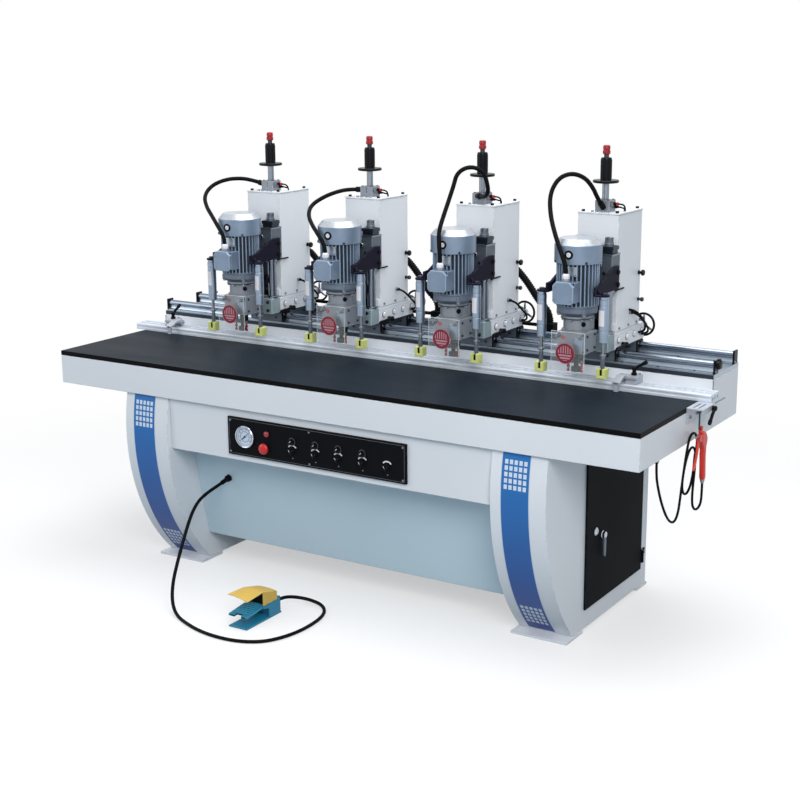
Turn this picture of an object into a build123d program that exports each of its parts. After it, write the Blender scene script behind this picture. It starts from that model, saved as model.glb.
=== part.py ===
from build123d import *
import math
import os

os.makedirs("parts", exist_ok=True)

# Driving sizes of the table, millimetres, with the front edge of the table at y = 0 and the floor at z = 0
table_length = 2500.0
table_height = 851.0
top_depth = 496.0
top_thickness = 18.0
strip_depth = 139.0
beam_depth = 252.0
apron_height = 112.0
bed_rise = 63.0
bed_thickness = 16.0
sheet_wall = 6.0

# Driving sizes of the base
leg_overhang = 328.0
leg_width = 212.0
leg_arc_radius = 770.0
leg_arc_drop = 161.0
leg_setback = 17.0
foot_thickness = 10.0
foot_margin = 5.0
foot_reach = 61.1
foot_length = 130.0
base_setback = 25.0
upper_panel_front = 22.0
upper_panel_height = 204.0
lower_panel_top_front = 143.0
lower_panel_bottom_front = 226.0
lower_panel_bottom = 115.0

# Driving sizes of the door on the right leg
door_setback = 82.0
door_width = 495.0
door_bottom = 83.0
door_drop = 41.0
door_thickness = 8.0
door_overlap = 20.0
handle_inset = 128.0
handle_drop = 348.0
lock_inset = 74.0
lock_drop = 322.0

# Driving sizes of the rails and the fence
rail_radius = 12.5
rail_height = 31.0
rail_setback = 28.0
rail_spacing = 194.0
fence_length = 2590.0
fence_depth = 75.0
fence_height = 26.0
stop_left_inset = 195.0
stop_right_inset = 324.0

# Driving sizes of one boring head, measured from the centre line of the head
head_places = (-700.0, -215.0, 290.0, 795.0)
head_half = 80.0
hole_setback = 21.0
saddle_lift = 21.0
saddle_height = 62.0
saddle_depth = 266.0
column_depth = 206.0
column_height = 422.0
lid_thickness = 6.0
feed_stroke = 55.0
clamp_offset = 120.0
clamp_reach = 59.0
clamp_length = 162.0
clamp_radius = 17.0
pad_clearance = 52.0
bit_clearance = 57.0
motor_radius = 84.0
motor_height = 279.0

# Running clearances
slide_gap = 0.3
shaft_gap = 0.08
stroke_gap = 1.0
shaft_end_gap = 0.5
cut_over = 1.0

# Derived levels
table_half = table_length / 2
beam_front = top_depth + strip_depth
table_depth = beam_front + beam_depth
front_rail_y = beam_front + rail_setback
rear_rail_y = front_rail_y + rail_spacing
apron_top = table_height - top_thickness
apron_bottom = apron_top - apron_height
bed_top = table_height + bed_rise
bed_bottom = bed_top - bed_thickness
rail_z = bed_top + rail_height
leg_arc_height = apron_bottom - leg_arc_drop
leg_foot_y = leg_arc_radius - math.sqrt(leg_arc_radius**2 - (leg_arc_height - foot_thickness) ** 2)
foot_front = leg_foot_y - foot_reach
leg_back = table_depth - leg_setback
base_back = table_depth - base_setback
upper_panel_bottom = apron_bottom - upper_panel_height
door_back = table_depth - door_setback
door_front = door_back - door_width
door_top = apron_bottom - door_drop
handle_place = (door_front + handle_inset, door_top - handle_drop)
lock_place = (door_front + lock_inset, door_top - lock_drop)
leg_outer = table_half - leg_overhang
leg_inner = leg_outer - leg_width
saddle_bottom = rail_z + saddle_lift
saddle_top = saddle_bottom + saddle_height
saddle_front = front_rail_y - 39.0
saddle_back = saddle_front + saddle_depth
column_front = saddle_front + 10.0
column_back = column_front + column_depth
column_top = saddle_top + column_height
lid_top = column_top + lid_thickness
stop_y = column_front + 56.0
spindle_y = top_depth - hole_setback
clamp_y = top_depth - clamp_reach
motor_seat = saddle_top + feed_stroke + 30.0
fence_half = fence_length / 2
stop_left = stop_left_inset - fence_half
stop_right = fence_half - stop_right_inset
fence_top = table_height + fence_height
fence_back = top_depth + fence_depth


def block(x, y, z):
    """Box between low and high limits along each axis."""
    centre = Pos((x[0] + x[1]) / 2, (y[0] + y[1]) / 2, (z[0] + z[1]) / 2)
    return centre * Box(x[1] - x[0], y[1] - y[0], z[1] - z[0])


def hollow_block(x, y, z, wall):
    """Closed sheet metal box."""
    inside = block((x[0] + wall, x[1] - wall), (y[0] + wall, y[1] - wall), (z[0] + wall, z[1] - wall))
    return block(x, y, z) - inside


def bar_x(radius, x, y, z):
    """Round bar along X."""
    return Pos((x[0] + x[1]) / 2, y, z) * Rot(0, 90, 0) * Cylinder(radius, x[1] - x[0])


def bar_y(radius, x, y, z):
    """Round bar along Y."""
    return Pos(x, (y[0] + y[1]) / 2, z) * Rot(90, 0, 0) * Cylinder(radius, y[1] - y[0])


def bar_z(radius, x, y, z):
    """Round bar along Z."""
    return Pos(x, y, (z[0] + z[1]) / 2) * Cylinder(radius, z[1] - z[0])


def prism_x(points, x):
    """Outline of (y, z) points pulled along X."""
    face = make_face(Polyline(*points, close=True))
    return extrude(Plane.YZ.offset(x[0]) * face, x[1] - x[0], dir=(1, 0, 0))


def turned(points, x, y):
    """Outline of (radius, z) points turned about a vertical axis."""
    face = make_face(Polyline(*points, close=True))
    return Pos(x, y, 0) * revolve(Plane.XZ * face, Axis.Z)


def hex_x(flats, x, y, z):
    """Hexagon head lying along X."""
    face = RegularPolygon(flats / 2, 6, major_radius=False)
    return extrude(Plane.YZ.offset(x[0]) * Pos(y, z) * face, x[1] - x[0], dir=(1, 0, 0))


def hex_z(flats, x, y, z):
    """Hexagon head standing along Z."""
    face = RegularPolygon(flats / 2, 6, major_radius=False)
    return extrude(Pos(x, y, z[0]) * face, z[1] - z[0], dir=(0, 0, 1))


def tube(name, points, radius, largest=400.0):
    """Round tube along straight runs joined by tangent arcs."""
    corners = [Vector(*p) for p in points]
    radii = []
    for before, here, after in zip(corners, corners[1:], corners[2:]):
        first = here - before
        second = after - here
        half_turn = math.radians(first.get_angle(second)) / 2
        radii.append(min(largest, 0.45 * min(first.length, second.length) / math.tan(half_turn)))
    line = FilletPolyline(*corners, radius=radii)
    solid = sweep(Plane(line @ 0, z_dir=line % 0) * Circle(radius), path=line)
    ratio = solid.volume / (math.pi * radius**2 * line.length)
    print(f"{name}: length {line.length:.0f}, smallest radius {min(radii):.0f}, volume ratio {ratio:.3f}")
    return solid


def on_both_sides(shape):
    """The shape and its mirror image about the centre line of a head."""
    return [shape, mirror(shape, Plane.YZ)]


nodes = {}


# Table: two closed boxes under the black top and the rail bed, with the strip that carries the fence
bracket_reach = 60.0
bracket_span = 110.0
bracket_back_gap = 1.0
bracket_right = table_half + bracket_reach
bracket_y = (top_depth - bracket_back_gap - bracket_span, top_depth - bracket_back_gap)
bracket_thickness = 6.0
bracket_drop = 56.0
lever_x = bracket_right + 8.0
hook_x = table_half + 47.0
hook_y = bracket_y[0] + 3.0
hook_low = table_height - 67.0
hook_radius = 3.0
hose_exit = (table_half - 15.0, 177.0)
hose_fitting_length = 14.0


def table_parts():
    """Solids of the table frame."""
    full = (-table_half, table_half)
    tray = hollow_block(full, (0, beam_front), (apron_bottom, apron_top), sheet_wall)
    beam = hollow_block(full, (beam_front, table_depth), (apron_bottom, bed_bottom), sheet_wall)
    strip = hollow_block(full, (top_depth, beam_front), (apron_top, table_height), sheet_wall)
    leaf_z = (table_height - bracket_drop, table_height)
    leaf = block((table_half, table_half + bracket_thickness), bracket_y, leaf_z)
    shelf_x = (table_half + bracket_thickness, bracket_right)
    shelf = block(shelf_x, bracket_y, (table_height - bracket_thickness, table_height))
    lip_x = (bracket_right - bracket_thickness, bracket_right)
    lip = block(lip_x, bracket_y, (table_height - 20.0, table_height - bracket_thickness))
    slot_z = (table_height - bracket_thickness - cut_over, table_height + cut_over)
    slot = block((table_half + 20.0, table_half + 50.0), (bracket_y[1] - 25.0, bracket_y[1] - 17.0), slot_z)
    bracket = leaf + shelf + lip - slot
    lever_root = (lever_x, bracket_y[1] - 23.0, table_height - 12.0)
    lever_bend = (lever_x, bracket_y[1] - 43.0, table_height - 29.0)
    lever_route = [lever_root, lever_bend, (lever_x, bracket_y[1] - 65.0, table_height - 53.0)]
    lever = tube("bracket lever", lever_route, 6.0)
    lever += bar_x(5.0, (bracket_right, lever_x), *lever_root[1:])
    shelf_low = table_height - bracket_thickness
    hook = bar_z(hook_radius, hook_x, hook_y, (hook_low - hook_radius, shelf_low))
    hook += bar_y(hook_radius, hook_x, (hook_y, hook_y + 26.0), hook_low - hook_radius)
    fitting = hex_z(16.0, *hose_exit, (apron_bottom - hose_fitting_length, apron_bottom))
    return [tray, beam, strip, bracket, lever, hook, fitting]


nodes["table_frame"] = table_parts()
nodes["table_top"] = [block((-table_half, table_half), (0, top_depth), (apron_top, table_height))]


# Base: curved legs, the box with the control panel and the sloping box below it
def leg_outline(inset):
    """Side view of a leg with a bowed front, shrunk by the inset."""
    radius = leg_arc_radius - inset
    low = foot_thickness + inset
    high = apron_bottom - inset
    low_y = leg_arc_radius - math.sqrt(radius**2 - (low - leg_arc_height) ** 2)
    high_y = leg_arc_radius - math.sqrt(radius**2 - (high - leg_arc_height) ** 2)
    front = ThreePointArc((low_y, low), (inset, leg_arc_height), (high_y, high))
    rest = Polyline((high_y, high), (leg_back - inset, high), (leg_back - inset, low), (low_y, low))
    return make_face(front + rest)


def leg_shell(x):
    """Closed sheet metal leg."""
    outside = extrude(Plane.YZ.offset(x[0]) * leg_outline(0.0), x[1] - x[0], dir=(1, 0, 0))
    room = x[1] - x[0] - 2 * sheet_wall
    inside = extrude(Plane.YZ.offset(x[0] + sheet_wall) * leg_outline(sheet_wall), room, dir=(1, 0, 0))
    return outside - inside


def foot_plates(x):
    """Front and rear floor plates of a leg."""
    wide = (x[0] - foot_margin, x[1] + foot_margin)
    front = block(wide, (foot_front, foot_front + foot_length), (0, foot_thickness))
    rear = block(wide, (leg_back - 90.0, leg_back + foot_margin), (0, foot_thickness))
    return [front, rear]


lower_panel_height = upper_panel_bottom - lower_panel_bottom
slope_lean = (lower_panel_bottom_front - lower_panel_top_front) / lower_panel_height
slope_scale = math.hypot(1.0, slope_lean)


def sloping_box():
    """Closed box with a sloping front between the legs."""
    def outline(inset):
        """Side view shrunk by the inset."""
        step = inset * slope_scale
        top_front = lower_panel_top_front + step + slope_lean * inset
        bottom_front = lower_panel_bottom_front + step - slope_lean * inset
        high = upper_panel_bottom - inset
        low = lower_panel_bottom + inset
        back = base_back - inset
        return [(top_front, high), (back, high), (back, low), (bottom_front, low)]
    outside = prism_x(outline(0.0), (-leg_inner, leg_inner))
    inside = prism_x(outline(sheet_wall), (-leg_inner + sheet_wall, leg_inner - sheet_wall))
    return outside - inside


slope_normal = Vector(0, -1.0 / slope_scale, -slope_lean / slope_scale)
gland_x = -550.0
gland_z = 385.0
gland_y = lower_panel_top_front + slope_lean * (upper_panel_bottom - gland_z)
gland_root = Vector(gland_x, gland_y, gland_z)
gland_length = 24.0
gland = extrude(Plane(gland_root, z_dir=slope_normal) * RegularPolygon(13.0, 6), gland_length)

control_drop = 34.0
control_height = 146.0
control_z = (apron_bottom - control_drop - control_height, apron_bottom - control_drop)
upper_box = hollow_block((-leg_inner, leg_inner), (upper_panel_front, base_back),
                         (upper_panel_bottom, apron_bottom), sheet_wall)
left_leg_x = (-leg_outer, -leg_inner)
nodes["base_frame"] = [leg_shell(left_leg_x), upper_box, sloping_box(), gland] + foot_plates(left_leg_x)


# Right leg: the electric cabinet, open on its outer side behind the door
hinge_axis_y = door_back + 7.0
hinge_axis_x = leg_outer + door_thickness
hinge_levels = (door_bottom + 25.0, door_top - 80.0)
knuckle_length = 25.0
knuckle_radius = 7.0
hinge_pin_radius = 3.0
hinge_leaf = 4.0
handle_hub_radius = 14.0
handle_shaft_radius = 5.0
handle_grip_half = 9.0
handle_grip_length = 82.0
lock_radius = 15.0
door_gap = 0.5
gear_plate = 4.0
gear_depth = (80.0, 60.0)
gear_row = ((70.0, 90.0), (180.0, 110.0), (310.0, 120.0))


def cabinet_parts():
    """Solids of the cabinet."""
    x = (leg_inner, leg_outer)
    opening = block((leg_outer - 2 * sheet_wall, leg_outer + cut_over),
                    (door_front + door_overlap, door_back - door_overlap),
                    (door_bottom + door_overlap, door_top - door_overlap))
    shell = leg_shell(x) - opening
    wall_x = leg_inner + sheet_wall
    gear_x = wall_x + gear_plate
    plate_y = (door_front + 40.0, door_back - 40.0)
    plate = block((wall_x, gear_x), plate_y, (door_bottom + 57.0, door_top - 40.0))
    gear = []
    for shift, width in gear_row:
        y = (door_front + shift, door_front + shift + width)
        gear.append(block((gear_x, gear_x + gear_depth[0]), y, (door_top - 220.0, door_top - 110.0)))
        gear.append(block((gear_x, gear_x + gear_depth[1]), y, (door_bottom + 137.0, door_bottom + 237.0)))
    knuckles = []
    for level in hinge_levels:
        z = (level + knuckle_length + slide_gap, level + 2 * knuckle_length)
        ring = bar_z(knuckle_radius, hinge_axis_x, hinge_axis_y, z)
        leaf = block((leg_outer, leg_outer + hinge_leaf), (hinge_axis_y, hinge_axis_y + 36.0), z)
        hole_z = (z[0] - cut_over, z[1] + cut_over)
        hole = bar_z(hinge_pin_radius + shaft_gap, hinge_axis_x, hinge_axis_y, hole_z)
        knuckles.append(ring + leaf - hole)
    return [shell, plate] + gear + knuckles + foot_plates(x)


nodes["right_cabinet"] = cabinet_parts()


def door_parts():
    """Door panel with its knuckles, pins and lock."""
    x = (leg_outer + door_gap, leg_outer + door_thickness)
    panel = block(x, (door_front, door_back), (door_bottom, door_top))
    for level in hinge_levels:
        z = (level, level + knuckle_length)
        panel += bar_z(knuckle_radius, hinge_axis_x, hinge_axis_y, z)
        panel += block((hinge_axis_x - hinge_leaf, hinge_axis_x), (door_back - 10.0, hinge_axis_y), z)
        panel += bar_z(hinge_pin_radius, hinge_axis_x, hinge_axis_y, (z[0], z[1] + knuckle_length))
        notch_z = (z[1], z[1] + knuckle_length + 2 * slide_gap)
        ring = bar_z(knuckle_radius + stroke_gap, hinge_axis_x, hinge_axis_y, notch_z)
        pin = bar_z(hinge_pin_radius, hinge_axis_x, hinge_axis_y, (z[0], z[1] + knuckle_length))
        panel = panel - (ring - pin)
    panel -= bar_x(handle_shaft_radius + shaft_gap, (x[0] - cut_over, x[1] + cut_over), *handle_place)
    lock = bar_x(lock_radius, (x[1], x[1] + 6.0), *lock_place)
    return [panel, lock]


nodes["cabinet_door"] = door_parts()
handle_x = leg_outer + door_thickness + slide_gap
handle_hub = bar_x(handle_hub_radius, (handle_x, handle_x + 14.0), *handle_place)
handle_shaft = bar_x(handle_shaft_radius, (leg_outer + door_gap, handle_x), *handle_place)
handle_grip = block((handle_x + 6.0, handle_x + 16.0),
                    (handle_place[0] - handle_grip_half, handle_place[0] + handle_grip_half),
                    (handle_place[1] - handle_grip_length, handle_place[1]))
nodes["door_handle"] = [handle_hub + handle_shaft + handle_grip]


# Rail bed with two supported round rails
rail_half = table_half - 8.0
rail_web = 6.0
rail_foot = (20.0, 5.0)


def rail_parts():
    """Bed plate, rails and their end pieces."""
    bed = block((-table_half, table_half), (beam_front, table_depth - 2.0), (bed_bottom, bed_top))
    solids = [bed]
    for y in (front_rail_y, rear_rail_y):
        span = (-rail_half, rail_half)
        foot = block(span, (y - rail_foot[0], y + rail_foot[0]), (bed_top, bed_top + rail_foot[1]))
        web = block(span, (y - rail_web, y + rail_web), (bed_top, rail_z))
        solids.append(foot + web + bar_x(rail_radius, span, y, rail_z))
        for end in ((-table_half, -rail_half), (rail_half, table_half)):
            solids.append(block(end, (y - 18.0, y + 18.0), (bed_top, rail_z + 18.0)))
    return solids


nodes["guide_rails"] = rail_parts()


# Fence with two grooves, and the clamp blocks of the end stops
stop_axis_y = top_depth + 39.0
stop_axis_z = fence_top + 16.0
stop_block_width = 44.0
stop_flap_width = 30.0
stop_eye = 13.0
stop_pin = 5.0
groove_width = 9.0
groove_depth = 7.0
groove_inset = (16.0, 46.0)
stop_block_height = 28.0
stop_post_height = 18.0
lever_bend = (12.0, 18.0)
lever_tip = (48.0, 40.0)


def fence_parts():
    """Fence bar with the stop blocks and their levers."""
    bar = block((-fence_half, fence_half), (top_depth, fence_back), (table_height, fence_top))
    groove_x = (-fence_half - cut_over, fence_half + cut_over)
    for y in (top_depth + groove_inset[0], top_depth + groove_inset[1]):
        bar -= block(groove_x, (y, y + groove_width), (fence_top - groove_depth, fence_top + cut_over))
    solids = [bar]
    block_top = fence_top + stop_block_height
    post_top = block_top + stop_post_height
    for edge, side in ((stop_left, -1.0), (stop_right, 1.0)):
        low, high = sorted((edge, edge + side * stop_block_width))
        body = block((low, high), (top_depth + 9.0, fence_back - 5.0), (fence_top, block_top))
        body -= bar_x(stop_pin + shaft_gap, (low - cut_over, high + cut_over), stop_axis_y, stop_axis_z)
        middle = (low + high) / 2
        post = bar_z(7.0, middle, stop_axis_y, (block_top, post_top))
        tip = (middle + side * lever_tip[0], stop_axis_y, post_top + lever_tip[1])
        root = (middle, stop_axis_y, post_top)
        bend = (middle + side * lever_bend[0], stop_axis_y, post_top + lever_bend[1])
        solids += [body, post, tube("stop lever", [root, bend, tip], 6.0)]
    return solids


def stop_flap(edge, side):
    """Hinged stop flap hanging over the front of the fence, beside its block."""
    low, high = sorted((edge - side * slide_gap, edge - side * (slide_gap + stop_flap_width)))
    front = top_depth - 34.0
    outline = [(stop_axis_y, stop_axis_z + stop_eye), (top_depth + 4.0, stop_axis_z + stop_eye),
               (front, stop_axis_z - 3.0), (front, table_height + 3.0), (front + 24.0, table_height + 3.0),
               (front + 24.0, stop_axis_z - stop_eye), (stop_axis_y, stop_axis_z - stop_eye)]
    arm = prism_x(outline, (low, high))
    eye = bar_x(stop_eye, (low, high), stop_axis_y, stop_axis_z)
    pin_low, pin_high = sorted((edge - side * slide_gap, edge + side * stop_block_width))
    return arm + eye + bar_x(stop_pin, (pin_low, pin_high), stop_axis_y, stop_axis_z)


nodes["fence"] = fence_parts()
nodes["flip_stop_left"] = [stop_flap(stop_left, -1.0)]
nodes["flip_stop_right"] = [stop_flap(stop_right, 1.0)]


# Control panel with a gauge and a lamp, and the knobs that turn in it
panel_x = (-420.0, 370.0)
panel_thickness = 10.0
panel_face = upper_panel_front - panel_thickness
gauge_place = (-335.0, apron_bottom - 102.0)
lamp_place = (-236.0, apron_bottom - 80.0)
stop_place = (-247.0, apron_bottom - 136.0)
stop_travel = 5.0
gauge_radius = 44.0
lamp_radius = 12.0
stop_cap_radius = 21.0
switch_radius = 13.0
knob_radius = 11.0
grip_half = 3.0
switch_x = (-122.0, -19.0, 82.0, 186.0)
last_knob_x = 291.0
switch_z = apron_bottom - 93.0
knob_x = switch_x + (last_knob_x,)
knob_z = apron_bottom - 129.0
knob_shaft = 4.0
stop_shaft = 8.0


def panel_parts():
    """Panel plate, gauge and lamp."""
    plate = block(panel_x, (panel_face, upper_panel_front), control_z)
    places = [(x, switch_z) for x in switch_x] + [(x, knob_z) for x in knob_x]
    through = (panel_face - cut_over, upper_panel_front + cut_over)
    for x, z in places:
        plate -= bar_y(knob_shaft + shaft_gap, x, through, z)
    plate -= bar_y(stop_shaft + shaft_gap, stop_place[0], through, stop_place[1])
    gauge = bar_y(gauge_radius, gauge_place[0], (panel_face - 14.0, panel_face), gauge_place[1])
    lamp = bar_y(lamp_radius, lamp_place[0], (panel_face - 9.0, panel_face), lamp_place[1])
    return [plate, gauge, lamp]


def turn_knob(radius, length, x, z):
    """Knob with its shaft and a raised grip bar."""
    back = panel_face - slide_gap
    body = bar_y(radius, x, (back - length, back), z)
    grip_y = (back - length - 8.0, back - length)
    grip = block((x - grip_half, x + grip_half), grip_y, (z - radius, z + radius))
    return body + grip + bar_y(knob_shaft, x, (back, upper_panel_front - shaft_end_gap), z)


nodes["control_panel"] = panel_parts()
for index, x in enumerate(switch_x, 1):
    nodes[f"selector_{index}"] = [turn_knob(switch_radius, 12.0, x, switch_z)]
for index, x in enumerate(knob_x, 1):
    nodes[f"air_knob_{index}"] = [turn_knob(knob_radius, 14.0, x, knob_z)]
stop_cap_back = panel_face - stop_travel - stroke_gap
stop_cap = bar_y(stop_cap_radius, stop_place[0], (stop_cap_back - 14.0, stop_cap_back), stop_place[1])
stop_stem_end = upper_panel_front - stop_travel - shaft_end_gap
stop_stem = bar_y(stop_shaft, stop_place[0], (stop_cap_back, stop_stem_end), stop_place[1])
nodes["emergency_stop"] = [stop_cap + stop_stem]


# One boring head about x = 0
front_block_y = (saddle_front - 58.0, saddle_front)
block_half_depth = 29.0
block_bottom = bed_top + 9.0
block_mouth_half = rail_web + 4.0
guide_bar_x = 60.0
guide_bar_y = saddle_front - 24.0
guide_bar_radius = 17.0
housing_half = 88.0
housing_height = 154.0
tongue_half = 38.0
tongue_z = (saddle_top + feed_stroke + 2.0, motor_seat - 1.0)
ram_top = motor_seat + 67.0
housing_z = (ram_top + 10.0, ram_top + 10.0 + housing_height)
clamp_top = housing_z[0] + 2.0
arm_rise = 84.0
arm_thickness = 8.0
cap_thickness = 12.0
rod_radius = 12.5
wheel_x = 65.0
wheel_z = saddle_top - 18.0
wheel_box_y = (saddle_back, saddle_back + 18.0)
wheel_shaft = 7.0
wheel_box_half = 32.0
wheel_box_floor = 3.0
wheel_radius = 41.0
wheel_rim_radius = 4.5
stop_half = 35.0
lid_lip = 2.0
feed_cylinder_radius = 32.0
feed_cylinder_length = 155.0
stop_block_top = lid_top + 46.0
clamp_bottom = clamp_top - clamp_length
clamp_rod = 6.0
clamp_rod_top = clamp_top - 42.0
pad_half = 22.5
pad_height = 32.0
neck_height = 56.0
box_top = motor_seat - neck_height
box_bottom = box_top - 76.0
bit_offset = 26.0
bit_setback = 9.5
spindle_shaft = 8.0
cable_radius = 8.0
terminal_z = (motor_seat + 59.0, motor_seat + 119.0)
gland_place = (3.0, spindle_y - 101.0, terminal_z[1] + 22.0)
side_bolt_inset = 33.0
side_bolt_pitch = (74.0, 66.0)
side_bolt_y = (saddle_front + side_bolt_inset, saddle_front + side_bolt_inset + side_bolt_pitch[0],
               saddle_front + side_bolt_inset + side_bolt_pitch[0] + side_bolt_pitch[1])
side_knob_inset = 18.0
side_knob_rise = (194.0, 95.0)
side_knob_y = column_back - side_knob_inset
side_knob_z = (saddle_top + side_knob_rise[0], saddle_top + side_knob_rise[1])
motor_flange_radius = 80.0
motor_body_radius = 76.0
motor_foot_radius = 58.0
motor_crown_radius = 66.0
motor_flange_lift = 11.0
motor_flange_top = 37.0
fan_cover_height = 102.0
motor_crown_height = 39.0
terminal_x = (-38.0, 42.0)
terminal_reach = 125.0
terminal_root = 40.0
duct_radius = 15.0
duct_box_x = (166.0, 216.0)
duct_box_y = (saddle_back - 18.0, saddle_back + 24.0)
duct_box_z = (saddle_bottom - 32.0, saddle_bottom + 18.0)


def bearing_block(y):
    """Open bearing block round one rail."""
    body = block((-head_half, head_half), (y - block_half_depth, y + block_half_depth),
                 (block_bottom, saddle_bottom))
    reach = (-head_half - cut_over, head_half + cut_over)
    body -= bar_x(rail_radius + slide_gap, reach, y, rail_z)
    mouth = (y - block_mouth_half, y + block_mouth_half)
    return body - block(reach, mouth, (block_bottom - cut_over, rail_z))


def clamp_arm():
    """Right arm that carries a clamp cylinder on the guide housing."""
    arm_x = (housing_half, housing_half + arm_thickness)
    back = column_front - 22.0
    cap_top = clamp_top + cap_thickness
    outline = [(back, clamp_top), (back, clamp_top + arm_rise), (back - 32.0, clamp_top + arm_rise),
               (clamp_y + 20.0, cap_top), (clamp_y - 20.0, cap_top), (clamp_y - 20.0, clamp_top)]
    cap = block((arm_x[1], clamp_offset + 20.0), (clamp_y - 20.0, clamp_y + 20.0), (clamp_top, cap_top))
    return prism_x(outline, arm_x) + cap


def clamp_cylinder():
    """Right clamp cylinder with the bore for its rod."""
    body = bar_z(clamp_radius, clamp_offset, clamp_y, (clamp_bottom, clamp_top))
    bore_z = (clamp_bottom - cut_over, clamp_rod_top + 8.0)
    return body - bar_z(clamp_rod + slide_gap, clamp_offset, clamp_y, bore_z)


def carriage_parts(with_duct):
    """Saddle, bearing blocks, guide housing, clamp arms and cylinders."""
    saddle = block((-head_half, head_half), (saddle_front, saddle_back), (saddle_bottom, saddle_top))
    pocket_y = (front_rail_y + 37.0, rear_rail_y - 37.0)
    pocket_z = (saddle_bottom - cut_over, saddle_top - 12.0)
    saddle -= block((-head_half + 14.0, head_half - 14.0), pocket_y, pocket_z)
    front = block((-head_half, head_half), front_block_y, (saddle_bottom, saddle_top))
    solids = [saddle, front, bearing_block(front_rail_y), bearing_block(rear_rail_y)]
    solids.append(block((-housing_half, housing_half), (front_block_y[0], column_front), housing_z))
    for x in (-guide_bar_x, guide_bar_x):
        solids.append(bar_z(guide_bar_radius, x, guide_bar_y, (saddle_top, housing_z[0])))
        washer_top = housing_z[1] + 6.0
        solids.append(block((x - 26.0, x + 26.0), (guide_bar_y - 20.0, guide_bar_y + 20.0),
                            (housing_z[1], washer_top)))
        solids.append(hex_z(28.0, x, guide_bar_y, (washer_top, washer_top + 25.0)))
    solids += on_both_sides(clamp_arm())
    solids += on_both_sides(clamp_cylinder())
    for y in side_bolt_y:
        solids += on_both_sides(hex_x(18.0, (head_half, head_half + 8.0), y, saddle_bottom + 31.0))
    wheel_box = block((wheel_x - wheel_box_half, wheel_x + wheel_box_half), wheel_box_y,
                      (wheel_z - wheel_box_half, wheel_z + wheel_box_half))
    wheel_hole_y = (wheel_box_y[0] + wheel_box_floor, wheel_box_y[1] + cut_over)
    solids.append(wheel_box - bar_y(wheel_shaft + shaft_gap, wheel_x, wheel_hole_y, wheel_z))
    lock_y = saddle_front + 66.0
    lock_z = saddle_bottom + 10.0
    lock = bar_x(8.0, (head_half, head_half + 22.0), lock_y, lock_z)
    lock += prism_x([(lock_y, lock_z - 8.0), (lock_y, lock_z + 8.0), (lock_y - 86.0, lock_z + 4.0),
                     (lock_y - 92.0, lock_z - 5.0)], (head_half + 14.0, head_half + 22.0))
    solids.append(lock)
    if with_duct:
        solids.append(block((head_half, duct_box_x[0]), (duct_box_y[0], duct_box_y[0] + 12.0),
                            (saddle_bottom + 2.0, saddle_bottom + 14.0)))
        solids.append(block(duct_box_x, duct_box_y, duct_box_z))
    return solids


def column_parts(with_duct, cable_end):
    """Column shell, lid, stop block with a cable gland, feed cylinder, side knobs and rear pipes."""
    wide = (-head_half, head_half)
    inner_x = (-head_half + sheet_wall, head_half - sheet_wall)
    inner_y = (column_front + sheet_wall, column_back - sheet_wall)
    shell = block(wide, (column_front, column_back), (saddle_top, column_top))
    shell -= block(inner_x, inner_y, (saddle_top - cut_over, column_top - sheet_wall))
    slot_half = tongue_half + 2.5
    slot_y = (column_front - cut_over, column_front + 2 * sheet_wall)
    shell -= block((-slot_half, slot_half), slot_y, (saddle_top - cut_over, ram_top + 4.0))
    lid = block((-head_half - lid_lip, head_half + lid_lip), (column_front - lid_lip, column_back + lid_lip),
                (column_top, lid_top))
    stop_block_y = (stop_y - stop_half, stop_y + stop_half)
    stop = block((-stop_half, stop_half), stop_block_y, (lid_top, stop_block_top))
    before, end = (Vector(*p) for p in cable_end)
    stop += extrude(Plane(end, z_dir=end - before) * Circle(cable_radius + 3.0), 24.0)
    plate_z = (column_top - 50.0, column_top - 38.0)
    plate = block(inner_x, inner_y, plate_z)
    cylinder = bar_z(feed_cylinder_radius, 0.0, stop_y, (plate_z[0] - feed_cylinder_length, plate_z[0]))
    bore = bar_z(rod_radius + slide_gap, 0.0, stop_y, (ram_top, stop_block_top + cut_over))
    solids = [shell - bore, lid - bore, stop - bore, plate - bore, cylinder - bore]
    for z in side_knob_z:
        stem = bar_x(5.0, (head_half, head_half + 12.0), side_knob_y, z)
        solids.append(stem + bar_x(11.0, (head_half + 12.0, head_half + 24.0), side_knob_y, z))
    high = (side_bolt_y[1] + 19.0, saddle_top + 57.0)
    low = (side_bolt_y[2] + 55.0, saddle_top - 38.0)
    solids.append(tube("air tube", [(head_half, *high), (head_half + 30.0, *high),
                                    (head_half + 44.0, high[0] + 42.0, high[1] - 42.0),
                                    (head_half + 42.0, low[0] - 18.0, low[1] + 24.0),
                                    (head_half + 28.0, *low), (head_half, *low)], 4.0))
    if with_duct:
        middle = ((duct_box_x[0] + duct_box_x[1]) / 2, (duct_box_y[0] + duct_box_y[1]) / 2)
        top = saddle_top + 172.0
        solids.append(tube("duct", [(30, column_back, top), (30, column_back + 46.0, top),
                                    (86, middle[1] + 4.0, top - 62.0),
                                    (144, middle[1], duct_box_z[1] + 78.0),
                                    (*middle, duct_box_z[1] + 38.0), (*middle, duct_box_z[1])], duct_radius))
    return solids


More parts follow.
